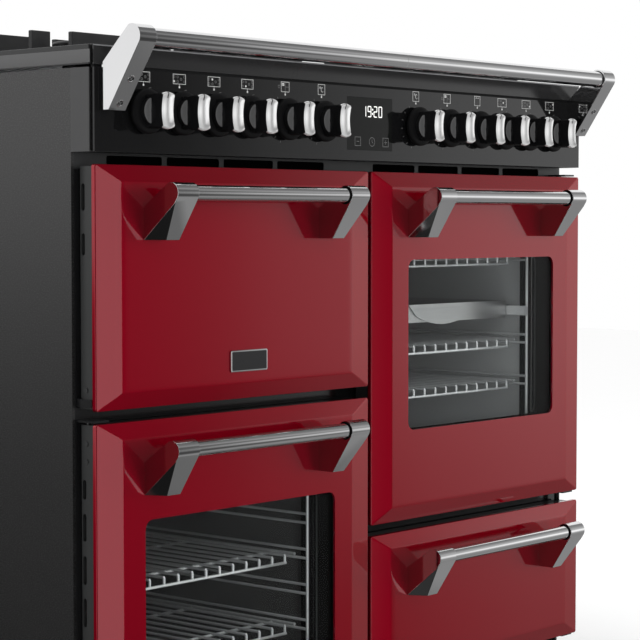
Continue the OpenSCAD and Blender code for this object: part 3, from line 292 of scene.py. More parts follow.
# Levelling feet: moulded black pads on steel studs. They screw up into the runners of the
# base frame until the hob stands level.
def dress(material, *names):
    """Gives CAD pieces one finish in place of the one they came with."""
    for n in names:
        nodes[n].data.materials.clear()
        nodes[n].data.materials.append(material)


dress(coating("foot_moulding", [(0.016, 0.016, 0.017), (0.024, 0.024, 0.025)], 0.45,
              grain=0.00004, grain_size=1500), "levelling_feet")

# Base frame and side panels: folded steel sheet in a satin charcoal powder coat with the
# fine orange-peel of its baking. The panels cover the body from the front fold to the back.
charcoal = coating("charcoal_powder", [(0.010, 0.010, 0.010), (0.013, 0.013, 0.013)], 0.27,
                   scale=3.0, grain=0.00001, grain_size=700, reflect=0.85)
dress(charcoal, "side_panels", "base_frame")

# Plinth and front frame: black vitreous enamel, fired on the pressed plate that carries
# the hinge plates, the pins and the four oven mouths.
black_enamel = coating("black_enamel", [(0.006, 0.006, 0.0065), (0.010, 0.010, 0.0105)], 0.2,
                       grain=0.00002, grain_size=600, coat=0.3, coat_rough=0.08)
dress(black_enamel, "plinth", "front_frame")

# Back panel: bare galvanised sheet with its pale spangle and rows of punched louvres. The
# cover of the terminals is fixed on it.
dress(coating("galvanised_sheet", [(0.34, 0.35, 0.36), (0.5, 0.51, 0.52)], 0.42, metallic=0.85,
              scale=60.0, grain=0.00001, grain_size=200, spread=0.1), "back_panel")

# Oven linings and fan covers: pressed steel in vitreous enamel with pale specks. The tall
# oven is lined in a lighter grey than the others.
dark_lining = coating("dark_lining", [(0.022, 0.022, 0.023), (0.028, 0.028, 0.029)], 0.5,
                      specks=0.05, speck_size=900, reflect=0.3)
light_lining = coating("light_lining", [(0.46, 0.46, 0.462), (0.50, 0.50, 0.502)], 0.55,
                       specks=0.06, speck_size=900, reflect=0.2)
dress(dark_lining, "grill_cavity", "main_oven_cavity", "slow_oven_cavity", "fan_covers")
dress(light_lining, "tall_oven_cavity")

# Racks and shelves: drawn steel rods, resistance-welded where they cross and chromed. The
# racks hook to the linings' sides, and the shelves slide in them.
shelf_chrome = coating("shelf_chrome", [(0.74, 0.74, 0.75), (0.84, 0.84, 0.84)], 0.22,
                       metallic=0.45, scale=40.0, grain=0.00002, grain_size=1200, spread=0.05)
dress(shelf_chrome, "oven_racks", "oven_shelves")

# Oven lamps: a soft light in each glazed oven, along most of its depth. It shows the racks
# and shelves through the window.
oven_lamp_wide, oven_lamp_share = 0.26, 0.7
for name, cavity, lamp_z, watts in [("main_oven_lamp", "main_oven_cavity", 0.452, 0.5),
                                    ("tall_oven_lamp", "tall_oven_cavity", 0.742, 1.5)]:
    low, high = map(np.array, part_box(cavity))
    hung_lamp(name, "RECTANGLE", oven_lamp_wide, (high[1] - low[1]) * oven_lamp_share, watts,
              ((low[0] + high[0]) / 2, (low[1] + high[1]) / 2, lamp_z))

# Roasting tin: thin steel pressed to a shallow tray with a curved pull at its front, satin
# from the mill. It stands on two runners in the tall oven.
dress(coating("tin_steel", [(0.36, 0.36, 0.36), (0.42, 0.42, 0.415)], 0.33, metallic=0.9,
              scale=14.0, stretch=(1, 12, 12), grain=0.00001, grain_size=160), "roasting_tin")

# Grill element: a steel-sheathed heater bent to loops and browned by heat. Two flat bars
# hold it under the grill's roof.
dress(coating("element_sheath", [(0.13, 0.11, 0.10), (0.24, 0.2, 0.17)], 0.45, metallic=0.8,
              scale=30.0, grain=0.00003, grain_size=900), "grill_element")

# Door seals: soft grey silicone ropes, moulded in one length. Each is clipped to the front
# frame round its oven's mouth.
dress(coating("seal_rubber", [(0.035, 0.035, 0.036), (0.05, 0.05, 0.051)], 0.7,
              grain=0.0001, grain_size=800), "door_seals")


# Door skins: steel pressings with wide mitred bevels, folded back round the edge and fired
# in deep red gloss enamel. The two oven doors have a window cut with its edge turned in.
def eased(path, reach, steps=6):
    """A path of straight runs with its inner corners turned into short curves. Corner C
    between A and B becomes (1-t)^2 A' + 2t(1-t) C + t^2 B', where A' and B' lie reach away
    from C along the runs."""
    path = np.asarray(path, float)
    reach = np.asarray(reach, float)[:, None]
    before, corner, after = path[:-2], path[1:-1], path[2:]
    back = before - corner
    on = after - corner
    a = corner + back * np.minimum(reach / np.linalg.norm(back, axis=1, keepdims=True), 0.45)
    b = corner + on * np.minimum(reach / np.linalg.norm(on, axis=1, keepdims=True), 0.45)
    t = np.linspace(0, 1, steps)[None, :, None]
    a, b, c = a[:, None], b[:, None], corner[:, None]
    curve = (1 - t) ** 2 * a + 2 * t * (1 - t) * c + t ** 2 * b
    support = np.concatenate([a + (a - c) * 0.25, curve, b + (b - c) * 0.25], 1)
    return np.vstack([path[:1], support.reshape(-1, path.shape[1]), path[-1:]])


def rounded_rings(centre, half, radius, depth, each=6):
    """Ring k is a rectangle of half sizes half[k] about centre[k] in the plane y = depth[k],
    whose corners are arcs of radius[k]: corner middle plus radius times (cos a, sin a)."""
    centre, half = np.asarray(centre, float), np.asarray(half, float)
    radius = np.asarray(radius, float)[:, None, None]
    quarter = np.arange(4)[:, None] * math.pi / 2
    a = quarter + np.linspace(0, math.pi / 2, each)[None, :]
    sx = np.array([1, -1, -1, 1])[:, None]
    sz = np.array([1, 1, -1, -1])[:, None]
    hx, hz = half[:, 0, None, None], half[:, 1, None, None]
    x = centre[:, 0, None, None] + sx * (hx - radius) + radius * np.cos(a)
    z = centre[:, 1, None, None] + sz * (hz - radius) + radius * np.sin(a)
    y = np.broadcast_to(np.asarray(depth, float)[:, None, None], x.shape)
    return np.stack([x, y, z], -1).reshape(len(centre), -1, 3)


doors = ("grill_door", "main_door", "tall_door", "slow_door")
bevel_side, bevel_end, field_rise = 0.0386, 0.0205, 0.0052
skin_sheet, flange_side, flange_end = 0.0012, 0.006, 0.0018
edge_round, flat_round, least_round = 0.003, 0.001, 0.0002
window_wide, window_top, window_round, window_turn = 0.346, 0.119, 0.012, 0.003
window_base = {"main_door": 0.060, "tall_door": 0.124}
red_enamel = coating("red_enamel", [(0.340, 0.0006, 0.0150), (0.355, 0.0010, 0.0165)], 0.40,
                     metallic=0.85, scale=2.0, grain=0.000006, grain_size=260, coat=1.0,
                     coat_rough=0.05, spread=0.01, reflect=0.0, edge_tint=(1.0, 0.1, 0.14))


def door_skin(door):
    """The skin as rings: from the folded flange behind the edge, round the edge, up the
    bevel to the field, and on to the window or the middle. The back of the sheet follows
    the same rings one sheet further in. Bevel ring k is inset by share k of both bevels."""
    low, high = map(np.array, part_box(door + "_skin"))
    mid = (low + high)[[0, 2]] / 2
    half = (high - low)[[0, 2]] / 2
    face, rim, back = low[1], low[1] + field_rise, high[1]
    glazed = door in window_base
    # Columns: share of the bevel, inset of the flange, depth, corner radius, share of window
    path = [[0, 1, back, flat_round, 0], [0, 0, back, edge_round, 0],
            [0, 0, rim, edge_round, 0], [1, 0, face, flat_round, 0],
            [1, 0, face, flat_round, 1], [1, 0, face + window_turn, 0, 2]]
    # The curves are laid out in metres, with the bevel and the flange as their real lengths
    metric = np.array([bevel_side, flange_side, 1, 1, 0.05])
    # How far the curve at each inner corner of the path reaches
    rounds = [0.0006, 0.0012, 0.0022, 0.0006]
    if not glazed:
        path = path[:5]
        path[4][4] = 0.98
        rounds = rounds[:3]
    rows = eased(np.array(path) * metric, rounds) / metric

    def rings(rows, inside):
        bevel = np.clip(rows[:, 0], 0, 1)
        inset = np.stack([bevel_side * bevel + flange_side * rows[:, 1],
                          bevel_end * bevel + flange_end * rows[:, 1]], 1) + inside
        hole = np.clip(rows[:, 4], 0, 1)[:, None]
        edge_half = half - inset
        if glazed:
            base = window_base[door]
            tall = (high[2] - low[2]) - window_top - base
            hole_mid = np.array([mid[0], low[2] + base + tall / 2])
            hole_half = np.array([window_wide / 2, tall / 2]) + inside
            hole_round = window_round + inside
        else:
            hole_mid, hole_half = mid, np.array([0.0, 0.0])
            hole_round = least_round / 2
        radius = (rows[:, 3:4] + least_round) * (1 - hole) + hole_round * hole
        return rounded_rings(mid * (1 - hole) + hole_mid * hole,
                             edge_half * (1 - hole) + hole_half * hole,
                             radius[:, 0], rows[:, 2] + inside)

    front = rings(rows, 0.0)
    behind = rings(rows, skin_sheet)
    if glazed:
        behind[:, :, 1] = np.minimum(behind[:, :, 1], back - least_round / 2)
        behind[-1, :, 1] = front[-1, :, 1]
    behind[0, :, 1] = back - skin_sheet
    shell = np.concatenate([front, behind[::-1]] if glazed else [front[::-1], behind])
    made = woven(door + "_pressing", shell, red_enamel, across=glazed, caps=not glazed,
                 sharp=50.0)
    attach(made, door)
    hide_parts(door + "_skin")


for door in doors:
    door_skin(door)

# Door liners: black-grey enamelled pans behind the skins, with vent slots down the hinge
# side, held by screws, and with the bushes for the hinge pins inside.
liner_enamel = coating("liner_enamel", [(0.024, 0.025, 0.025), (0.030, 0.031, 0.031)], 0.34,
                       scale=6.0, grain=0.00002, grain_size=500)
dress(liner_enamel, *[door + "_liner" for door in doors])

# Window panes: 4 mm toughened glass, the outer one behind the skin and the inner one in the
# liner. Lamps pass through with a faint grey tint, and the faces mirror the room.
pane = bpy.data.materials.new("window_glass")
pane.use_nodes = True
tree = pane.node_tree
glass = tree.nodes["Principled BSDF"]
glass.inputs["Base Color"].default_value = (0.93, 0.94, 0.94, 1)
glass.inputs["Transmission Weight"].default_value = 1.0
glass.inputs["Roughness"].default_value = 0.0
glass.inputs["IOR"].default_value = 1.1
clear = tree.nodes.new("ShaderNodeBsdfTransparent")
clear.inputs["Color"].default_value = (0.9, 0.91, 0.91, 1)
paths = tree.nodes.new("ShaderNodeLightPath")
either = tree.nodes.new("ShaderNodeMath")
either.operation = "MAXIMUM"
tree.links.new(paths.outputs["Is Shadow Ray"], either.inputs[0])
tree.links.new(paths.outputs["Is Diffuse Ray"], either.inputs[1])
blend = tree.nodes.new("ShaderNodeMixShader")
tree.links.new(either.outputs[0], blend.inputs[0])
tree.links.new(glass.outputs[0], blend.inputs[1])
tree.links.new(clear.outputs[0], blend.inputs[2])
tree.links.new(blend.outputs[0], tree.nodes["Material Output"].inputs["Surface"])
dress(pane, "main_door_glass", "tall_door_glass")


# Door handles: a drawn bar pushed into two cast brackets, polished and chromed together.
# The brackets slant out to a collar, and their lower outer corner is cut to a facet.
def softened(node, finish, width):
    """The CAD piece with its doubles merged, its flat faces joined and its edges rounded by
    the given width, standing in for the sharp one. An edge is one where the faces on its
    two sides turn by more than the crease."""
    crease = math.radians(28)
    mesh = nodes[node].data.copy()
    work = bmesh.new()
    work.from_mesh(mesh)
    bmesh.ops.remove_doubles(work, verts=work.verts, dist=2e-6)
    bmesh.ops.dissolve_limit(work, angle_limit=math.radians(0.6), verts=work.verts,
                             edges=work.edges)
    work.to_mesh(mesh)
    work.free()
    mesh.materials.clear()
    mesh.materials.append(finish)
    mesh.polygons.foreach_set("use_smooth", np.ones(len(mesh.polygons), bool))
    mesh.set_sharp_from_angle(angle=crease)
    made = bpy.data.objects.new(node + "_softened", mesh)
    bpy.context.scene.collection.objects.link(made)
    edge = made.modifiers.new("edge", "BEVEL")
    edge.width = width
    edge.segments = 3
    edge.limit_method = "ANGLE"
    edge.angle_limit = crease
    edge.harden_normals = True
    edge.use_clamp_overlap = True
    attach(made, nodes[node]["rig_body"])
    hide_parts(node)
    return made


polished = coating("polished_chrome", [(0.74, 0.74, 0.75), (0.80, 0.80, 0.80)], 0.07,
                   metallic=1.0, scale=5.0, grain=0.000003, grain_size=400, spread=0.02)
for door in doors:
    handle = softened(door + "_handle", polished, 0.0005)


# Handle seams: the fine dark line where each handle's bar enters a bracket's collar. It is a
# shadow gap in the real handle; here a thin black ring round the bar paints that shadow.
def turned_along(profile, y, z, n=72):
    """A profile of (x, radius) carried round the line along x through (y, z)."""
    profile = np.asarray(profile, float)
    a = np.arange(n) * 2 * math.pi / n
    x, r = profile[:, 0, None], profile[:, 1, None]
    return np.stack([x + 0 * a, y + r * np.cos(a), z + r * np.sin(a)], -1)


# Plain black: the real black of the window sleeves and oven mouths, and painted shadow in the
# handle seams and behind the vent slots.
seam_black = coating("seam_black", [(0.003, 0.003, 0.003), (0.004, 0.004, 0.004)], 0.8,
                     reflect=0.0)
handle_bar_r, handle_collar_r, collar_face = 0.0097, 0.0125, 0.1395
handle_reach, handle_drop = 0.051, 0.033
seam_out, seam_in, seam_sunk, seam_proud, seam_lip = 0.0014, 0.0004, 0.0002, 0.0006, 0.0004
sides = ((-1, "left"), (1, "right"))
for door in doors:
    low, high = map(np.array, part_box(door + "_skin"))
    mid_x = (low[0] + high[0]) / 2
    for s, side_name in sides:
        near, far = (mid_x + s * (collar_face + d) for d in (-seam_out, seam_in))
        seam_shade_ring = woven(door + "_seam_" + side_name, turned_along(
            [(far, handle_bar_r - seam_sunk), (near, handle_bar_r - seam_sunk),
             (near, handle_bar_r + seam_proud), (far, handle_collar_r - seam_lip)],
            low[1] + field_rise - handle_reach, high[2] - handle_drop), seam_black, across=True)
        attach(seam_shade_ring, door)

# Black mouths: a sleeve between the panes of each glazed door, and a band of bare black
# enamel just inside the oven behind it.
sleeve_out = np.array([0.0028, 0.0028, 0.0022, 0.0022])
sleeve_front, sleeve_rear = 0.0021, 0.0042
mouth_wide, mouth_round = 0.355, 0.010
mouth_in = np.array([0.0002, 0.0002, 0.0007, 0.0007])
mouth_deep = np.array([0.0004, 0.0214, 0.0214, 0.0004])
for door, cavity, mouth_tall in (("main_door", "main_oven_cavity", 0.328),
                                 ("tall_door", "tall_oven_cavity", 0.370)):
    low, high = map(np.array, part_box(door + "_skin"))
    base = window_base[door]
    half = np.array([window_wide, high[2] - low[2] - window_top - base]) / 2
    mid = np.array([(low[0] + high[0]) / 2, low[2] + base + half[1]])
    front = low[1] + field_rise + sleeve_front
    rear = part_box(door + "_glass")[1][1] - sleeve_rear
    sleeve = woven(door + "_sleeve", rounded_rings(
        np.tile(mid, (4, 1)), half + sleeve_out[:, None], window_round + sleeve_out,
        [front, rear, rear, front]), seam_black, across=True)
    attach(sleeve, door)
    low, high = map(np.array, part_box(cavity))
    mid = (low + high)[[0, 2]] / 2
    half = np.array([mouth_wide, mouth_tall]) / 2
    mouth = woven(cavity + "_mouth", rounded_rings(
        np.tile(mid, (4, 1)), half - mouth_in[:, None], [mouth_round] * 4,
        low[1] + mouth_deep), seam_black, across=True)
    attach(mouth, "cooker")


# Badge plate: a blank dark plate in a chromed rim. It is glued low on the grill door's
# field and bears nothing.
def plate_rings(centre, half, radius, front, back, edge):
    """Rings of a plate from its back to its front face. The edge is rounded: the rings are
    drawn in by nothing, nothing, 0.3, 1 and 1.4 times edge."""
    d = [back, front + edge, front + edge * 0.3, front, front]
    inset = np.array([0, 0, edge * 0.3, edge, edge * 1.4])[:, None]
    return rounded_rings(np.tile(centre, (5, 1)), np.array(half)[None, :] - inset,
                         np.maximum(radius - inset[:, 0], least_round / 2), d)


door_top = 0.767
badge_mid = np.array([-0.24365, door_top - 0.2399])
badge_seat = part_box("grill_door_skin")[0][1]
rim_half, rim_corner, rim_edge = (0.0331, 0.0135), 0.0022, 0.0007
badge_rim = woven("badge_rim", plate_rings(
    badge_mid, rim_half, rim_corner, badge_seat - 0.0022, badge_seat + 0.0002, rim_edge),
    polished)
badge_black = coating("badge_black", [(0.008, 0.008, 0.009), (0.014, 0.014, 0.015)], 0.22,
                      grain=0.00001, grain_size=900)
face_half, face_corner, face_edge = (0.0312, 0.0116), 0.0012, 0.0002
badge_face = woven("badge_face", plate_rings(
    badge_mid, face_half, face_corner, badge_seat - 0.0025, badge_seat - 0.0018, face_edge),
    badge_black)
for piece in (badge_rim, badge_face):
    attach(piece, "grill_door")

# Vent rail: a satin black strip of folded sheet under the fascia. Its eight slots let the
# cooling air out, and a plain black sheet behind them paints the shade inside the duct.
dress(coating("vent_paint", [(0.018, 0.019, 0.020), (0.024, 0.025, 0.026)], 0.3,
              grain=0.00002, grain_size=600), "vent_rail")
duct_half, duct_front, duct_rear = (0.484, 0.0085), 0.003, 0.004
vent_low, vent_high = map(np.array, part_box("vent_rail"))
duct_shade = woven("vent_duct", rounded_rings(
    np.tile([0, (vent_low[2] + vent_high[2]) / 2], (2, 1)), [duct_half] * 2, [flat_round] * 2,
    [vent_high[1] + duct_front, vent_high[1] + duct_rear]), seam_black)
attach(duct_shade, "cooker")

# Control housing: the folded steel tray behind the fascia that holds the taps and the
# switches, with satin charcoal caps at its two ends.
dress(coating("housing_paint", [(0.046, 0.046, 0.047), (0.056, 0.056, 0.057)], 0.36,
              grain=0.00003, grain_size=700), "control_housing")

# Fascia: a flat steel plate in black gloss enamel, screwed to the housing from behind. The
# marks above the knobs are printed on it in white, and their finer parts in grey.
gloss_black = coating("gloss_black", [(0.0045, 0.0045, 0.0048), (0.006, 0.006, 0.0063)], 0.05,
                      scale=3.0, grain=0.000003, grain_size=300, spread=0.01, reflect=0.45)
dress(gloss_black, "fascia_panel")
fascia_low, fascia_high = map(np.array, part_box("fascia_panel"))
print_stand, print_deep, print_step = 0.00012, 0.00013, 0.00003
mark_y = fascia_low[1] - print_stand


def strokes(name, lines, width, depth, finish):
    """Printed lines: each line is a row of points (x, z) and a flag that closes it. A line
    becomes a flat ribbon a tenth of a millimetre thick. At a corner both edges lie on the
    mitre (s + t) / (1 + s.t) of the sides s and t of its two runs, times half the width."""
    verts, faces = [], []
    for points, closed in lines:
        p = np.array(points, float)
        run = np.roll(p, -1, 0) - p
        if not closed:
            run[-1] = run[-2]
        run /= np.linalg.norm(run, axis=1, keepdims=True)
        side = np.stack([-run[:, 1], run[:, 0]], 1)
        last = np.roll(side, 1, 0)
        if not closed:
            last[0] = side[0]
            p[0] -= run[0] * width / 2
            p[-1] += run[-1] * width / 2
        mitre = (side + last) / np.maximum(1 + (side * last).sum(1, keepdims=True), 0.4)
        edges = np.stack([p + mitre * width / 2, p - mitre * width / 2], 1)
        edges = np.concatenate([edges, edges[:, ::-1]], 1)
        y = np.broadcast_to(depth + np.array([0, 0, print_deep, print_deep]), edges.shape[:2])
        first, n = len(verts) * 4, len(p)
        verts += list(np.stack([edges[..., 0], y, edges[..., 1]], -1))
        k = np.arange(n if closed else n - 1)[:, None]
        i = np.arange(4)[None, :]
        k2, j = (k + 1) % n, (i + 1) % 4
        quads = np.stack(np.broadcast_arrays(k * 4 + i, k * 4 + j, k2 * 4 + j, k2 * 4 + i), -1)
        faces += (quads.reshape(-1, 4) + first).tolist()
        if not closed:
            faces += [[first + 3, first + 2, first + 1, first],
                      [first + n * 4 - 4 + q for q in range(4)]]
    mesh = bpy.data.meshes.new(name)
    mesh.from_pydata(np.concatenate(verts).tolist(), [], faces)
    work = bmesh.new()
    work.from_mesh(mesh)
    bmesh.ops.recalc_face_normals(work, faces=work.faces)
    work.to_mesh(mesh)
    work.free()
    mesh.materials.append(finish)
    made = bpy.data.objects.new(name, mesh)
    bpy.context.scene.collection.objects.link(made)
    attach(made, "cooker")
    return made


def ring_line(x, z, r, n=12):
    """A closed line round (x, z): x + r cos a, z + r sin a."""
    a = np.arange(n) * 2 * math.pi / n
    return (np.stack([x + r * np.cos(a), z + r * np.sin(a)], 1), True)


def box_line(x, z, hw, hh):
    """A closed rectangle about (x, z)."""
    return ([(x - hw, z - hh), (x + hw, z - hh), (x + hw, z + hh), (x - hw, z + hh)], True)


knob_rise, mark_rise = 0.0486, 0.0897
knob_mid, mark_z = fascia_low[2] + knob_rise, fascia_low[2] + mark_rise
knob_names = ["rear_left", "front_left", "rear_mid", "front_mid", "main_function", "main_heat",
              "tall_heat", "tall_function", "grill", "wok", "front_right", "rear_right"]
knob_xs = {n: np.mean([c[0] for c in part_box(n + "_knob")]) for n in knob_names}
# The plan of the seven burners, as steps from the middle of its box
burner_plan = {"rear_left": (-3, 1), "front_left": (-3, -1), "rear_mid": (-1, 1),
               "front_mid": (-1, -1), "wok": (1, 0), "front_right": (3, -1),
               "rear_right": (3, 1)}
plan_step_x, plan_step_z, burner_ring = 0.0029, 0.0027, 0.0014
oven_box, setting_r, setting_half = 0.0066, 0.0300, 0.0012
outline_wide, tick_wide, dot_wide = 0.0006, 0.0005, 0.0013
dot_r = 0.56 * dot_wide
thin, dots, arcs = [], [], []
for name, x in knob_xs.items():
    if name in burner_plan:
        # A box with the plan of the burners, this knob's own one as a dot, and a short tick
        thin.append(box_line(x, mark_z, 0.0105, 0.0058))
        for other, (i, j) in burner_plan.items():
            at = (x + i * plan_step_x, mark_z + j * plan_step_z)
            if other == name:
                dots.append(ring_line(*at, dot_r))
            else:
                arcs.append(ring_line(*at, burner_ring))
        arcs.append(([(x + 0.009, mark_z - 0.0132), (x + 0.0125, mark_z - 0.0124)], False))
    elif name.endswith("heat"):
        # A degree ring and an open curve: x + 1.4 mm + 2.2 mm cos c, z - 0.2 mm + 3 mm sin c
        thin.append(box_line(x, mark_z, oven_box, oven_box))
        thin.append(ring_line(x - 0.0026, mark_z + 0.0026, 0.0010, 8))
        c = np.linspace(0.9, 5.4, 9)
        thin.append((np.stack([x + 0.0014 + 0.0022 * np.cos(c),
                               mark_z - 0.0002 + 0.0030 * np.sin(c)], 1), False))
    elif name == "grill":
        # Two small notches under the roof of a box
        thin.append(box_line(x, mark_z, oven_box, oven_box))
        for side in (-1, 1):
            thin.append(([(x + side * 0.0022 + k * 0.0013, mark_z + (0.0036 if k else 0.0047))
                          for k in (-1, 0, 1)], False))
    else:
        # A box in four fields, with two bars in one of them and a ring beside it
        thin.append(box_line(x, mark_z, 0.0075, 0.0062))
        arcs.append(([(x, mark_z - 0.0055), (x, mark_z + 0.0055)], False))
        arcs.append(([(x + 0.0006, mark_z), (x + 0.0068, mark_z)], False))
        dots += [([(x - 0.0056, mark_z + h), (x - 0.0024, mark_z + h)], False)
                 for h in (0.0022, 0.0040)]
        arcs.append(ring_line(x - 0.0115, mark_z, 0.0019))
    dots.append(ring_line(x, mark_z - 0.0096, dot_r))
    thin.append(([(x, mark_z - 0.0065), (x, mark_z - 0.0080)], False))
    if name not in burner_plan:
        # Setting marks down the left of the oven knobs, turned to face the knob's middle
        for a in np.radians([118, 142, 164, 186, 208, 230, 252]):
            out = np.array([math.cos(a), math.sin(a)])
            mark = np.array([x, knob_mid]) + out * setting_r
            arcs.append(([mark - out * setting_half, mark + out * setting_half], False))
print_white = coating("print_white", [(0.70, 0.70, 0.69), (0.80, 0.80, 0.79)], 0.4,
                      scale=300.0)
print_grey = coating("print_grey", [(0.16, 0.16, 0.16), (0.20, 0.20, 0.20)], 0.45,
                     scale=300.0)
strokes("fascia_outlines", thin, outline_wide, mark_y, print_white)
strokes("fascia_dots", dots, dot_wide, mark_y - print_step, print_white)
strokes("fascia_ticks", arcs, tick_wide, mark_y + print_step, print_grey)

# Clock display: a black glass pane flush in the fascia, with lit figures and three outlined
# touch places under them.
dress(coating("display_glass", [(0.005, 0.0053, 0.005), (0.007, 0.0073, 0.007)], 0.06,
              scale=4.0, spread=0.01, reflect=0.18), "clock_display")
lit = bpy.data.materials.new("clock_figures")
lit.use_nodes = True
lit_shader = lit.node_tree.nodes["Principled BSDF"]
lit_shader.inputs["Base Color"].default_value = (0.8, 0.8, 0.78, 1)
lit_shader.inputs["Emission Color"].default_value = (1.0, 0.99, 0.95, 1)
lit_shader.inputs["Emission Strength"].default_value = 0.75
clock_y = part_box("clock_display")[0][1] - print_stand
figure_z = door_top + 0.0797
figure_w, figure_h, figure_line, colon_rise, colon_r = 0.0062, 0.0136, 0.0012, 0.0028, 0.00067
# The seven strokes of a figure, from corner to corner, and those that each figure lights
segments = {"a": ((0, 1), (1, 1)), "b": ((1, 1), (1, 0.5)), "c": ((1, 0.5), (1, 0)),
            "d": ((0, 0), (1, 0)), "e": ((0, 0.5), (0, 0)), "f": ((0, 1), (0, 0.5)),
            "g": ((0, 0.5), (1, 0.5))}
figures = {"1": "bc", "9": "abcdfg", "2": "abged", "0": "abcdef"}
lit_lines = []
for figure, x in zip("1920", (-0.0147, -0.0040, 0.0085, 0.0188)):
    for s in figures[figure]:
        p, q = map(np.array, segments[s])
        gap = (q - p) * 0.1
        ends = np.array([p + gap, q - gap]) * [figure_w, figure_h]
        lit_lines.append((ends + [x, figure_z - figure_h / 2], False))
lit_lines += [ring_line(0.0055, figure_z + s * colon_rise, colon_r) for s in (-1, 1)]
strokes("clock_figures", lit_lines, figure_line, clock_y, lit)
touch_z = door_top + 0.0395
less_x, timer_x, more_x, touch_half, sign_half = -0.025, 0.0045, 0.0331, 0.0058, 0.0025
touch = [box_line(less_x, touch_z, touch_half, touch_half),
         ring_line(timer_x, touch_z, touch_half, 16),
         box_line(more_x, touch_z, touch_half, touch_half),
         ([(less_x - sign_half, touch_z), (less_x + sign_half, touch_z)], False),
         ([(more_x - sign_half, touch_z), (more_x + sign_half, touch_z)], False),
         ([(more_x, touch_z - sign_half), (more_x, touch_z + sign_half)], False),
         ([(timer_x, touch_z + 0.003), (timer_x, touch_z), (timer_x + 0.002, touch_z - 0.0015)],
          False)]
strokes("clock_touch_marks", touch, tick_wide, clock_y, print_grey)


# Knobs: black mouldings with a wide skirt and a round body, whose two faces rise to a broad
# grip bar. The body's front is coloured a lighter charcoal, a painted sheen in place of the
# black moulding's highlight. A cast satin insert covers the bar's hollowed front and wraps
# over its two ends, and a black pointer is let into its upper end.
def turned(profile, centre, n=64):
    """A profile of (radius, y) carried round the y axis through centre: ring k, point i is
    (r cos a, y, r sin a)."""
    profile = np.asarray(profile, float)
    a = np.arange(n) * 2 * math.pi / n
    r, y = profile[:, 0, None], profile[:, 1, None]
    return np.stack([centre[0] + r * np.cos(a), centre[1] + y + 0 * a,
                     centre[2] + r * np.sin(a)], -1)


knob_black = coating("knob_black", [(0.0055, 0.0055, 0.006), (0.0075, 0.0075, 0.008)], 0.22,
                     scale=30.0, grain=0.000004, grain_size=1500, spread=0.03, reflect=0.5)
# The body's front: a charcoal lighter than the black moulding, a painted sheen in place of its
# highlight.
knob_satin = coating("knob_satin", [(0.088, 0.088, 0.089), (0.104, 0.104, 0.105)], 0.45,
                     scale=30.0, grain=0.000004, grain_size=1500, spread=0.03, reflect=0.3)
skirt_black = coating("skirt_black", [(0.0045, 0.0045, 0.005), (0.006, 0.006, 0.0065)], 0.5,
                      scale=30.0, grain=0.000004, grain_size=1500, spread=0.03, reflect=0.15)
insert_silver = coating("insert_silver", [(0.80, 0.80, 0.80), (0.86, 0.86, 0.86)], 0.2,
                        metallic=0.65, scale=60.0, grain=0.000004, grain_size=900)
pointer_black = coating("pointer_black", [(0.008, 0.008, 0.008), (0.012, 0.012, 0.012)], 0.5)
knob_long, skirt_r, body_r, body_long, body_edge = 0.0375, 0.0265, 0.0178, 0.0155, 0.0012
pole_r, under_bar, hollow_r, body_slope = 0.0001, 0.0098, 0.0018, math.radians(8)
grip_half, grip_wide, grip_hollow, grip_round = 0.0215, 0.019, 0.0024, 0.0025
bar_back, bar_sunk, insert_lift, insert_deep = -0.006, 0.0002, 0.0003, 0.0008
insert_dish, dish_fade = 0.0011, 0.006
pointer_long, pointer_half, pointer_proud, pointer_deep = 0.0085, 0.0008, 0.00006, 0.0006


def grip_front(n_arc=7, n_run=25):
    """The bar's front seen from the side, as rows (y, z, normal y, normal z) from the lower
    end to the upper: a quarter arc, the hollow -long + hollow (1 - t^2), a quarter arc."""
    a = np.linspace(-math.pi / 2, 0, n_arc)
    end = grip_half - grip_round
    low = np.stack([grip_round - knob_long - grip_round * np.cos(a), -end + grip_round * np.sin(a),
                    -np.cos(a), np.sin(a)], 1)
    t = np.linspace(-1, 1, n_run)[1:-1]
    slope = 2 * grip_hollow * t / end
    long = np.hypot(1, slope)
    run = np.stack([-knob_long + grip_hollow * (1 - t ** 2), t * end, -1 / long, -slope / long], 1)
    high = low[::-1] * [1, -1, 1, -1]
    return np.vstack([low, run, high])


def dish_share(rows):
    """How much of the dish a row has: its distance from the bar's end over dish_fade."""
    return np.clip((grip_half - np.abs(rows[:, 1])) / dish_fade, 0, 1)


def strip(rows, half_wide, lift, sink, dish, n=13):
    """A sheet on the bar's front: across it x = u half_wide, and the face stands off the row
    by lift - dish (1 - u^2). Its back lies sink behind the row. Heights shrink by
    sqrt(1 - (x / grip_half)^2), so that the ends follow the skirt's circle."""
    u = np.linspace(-1, 1, n)
    x = np.concatenate([u * half_wide, u[::-1] * half_wide])
    off = np.concatenate([lift - dish * dish_share(rows)[:, None] * (1 - u ** 2),
                          np.broadcast_to(-sink, (len(rows), n))], 1)
    y = rows[:, 0, None] + rows[:, 2, None] * off
    z = (rows[:, 1, None] + rows[:, 3, None] * off) * np.sqrt(1 - (x / grip_half) ** 2)
    return np.stack([np.broadcast_to(x, y.shape), y, z], -1)


skirt_profile = np.array([
    (pole_r, 0), (skirt_r - 0.001, 0), (skirt_r - 0.0003, -0.0003), (skirt_r, -0.001),
    (skirt_r, -0.0038), (skirt_r - 0.0004, -0.0050), (skirt_r - 0.002, -0.0064),
    (skirt_r - 0.005, -0.0074), (body_r + 0.0006, -0.0080), (pole_r, -0.0081)])
body_side = np.array([(pole_r, -0.0070), (body_r, -0.0070), (body_r, -body_long + 0.0022)])
body_round, black_bands = 96, 4


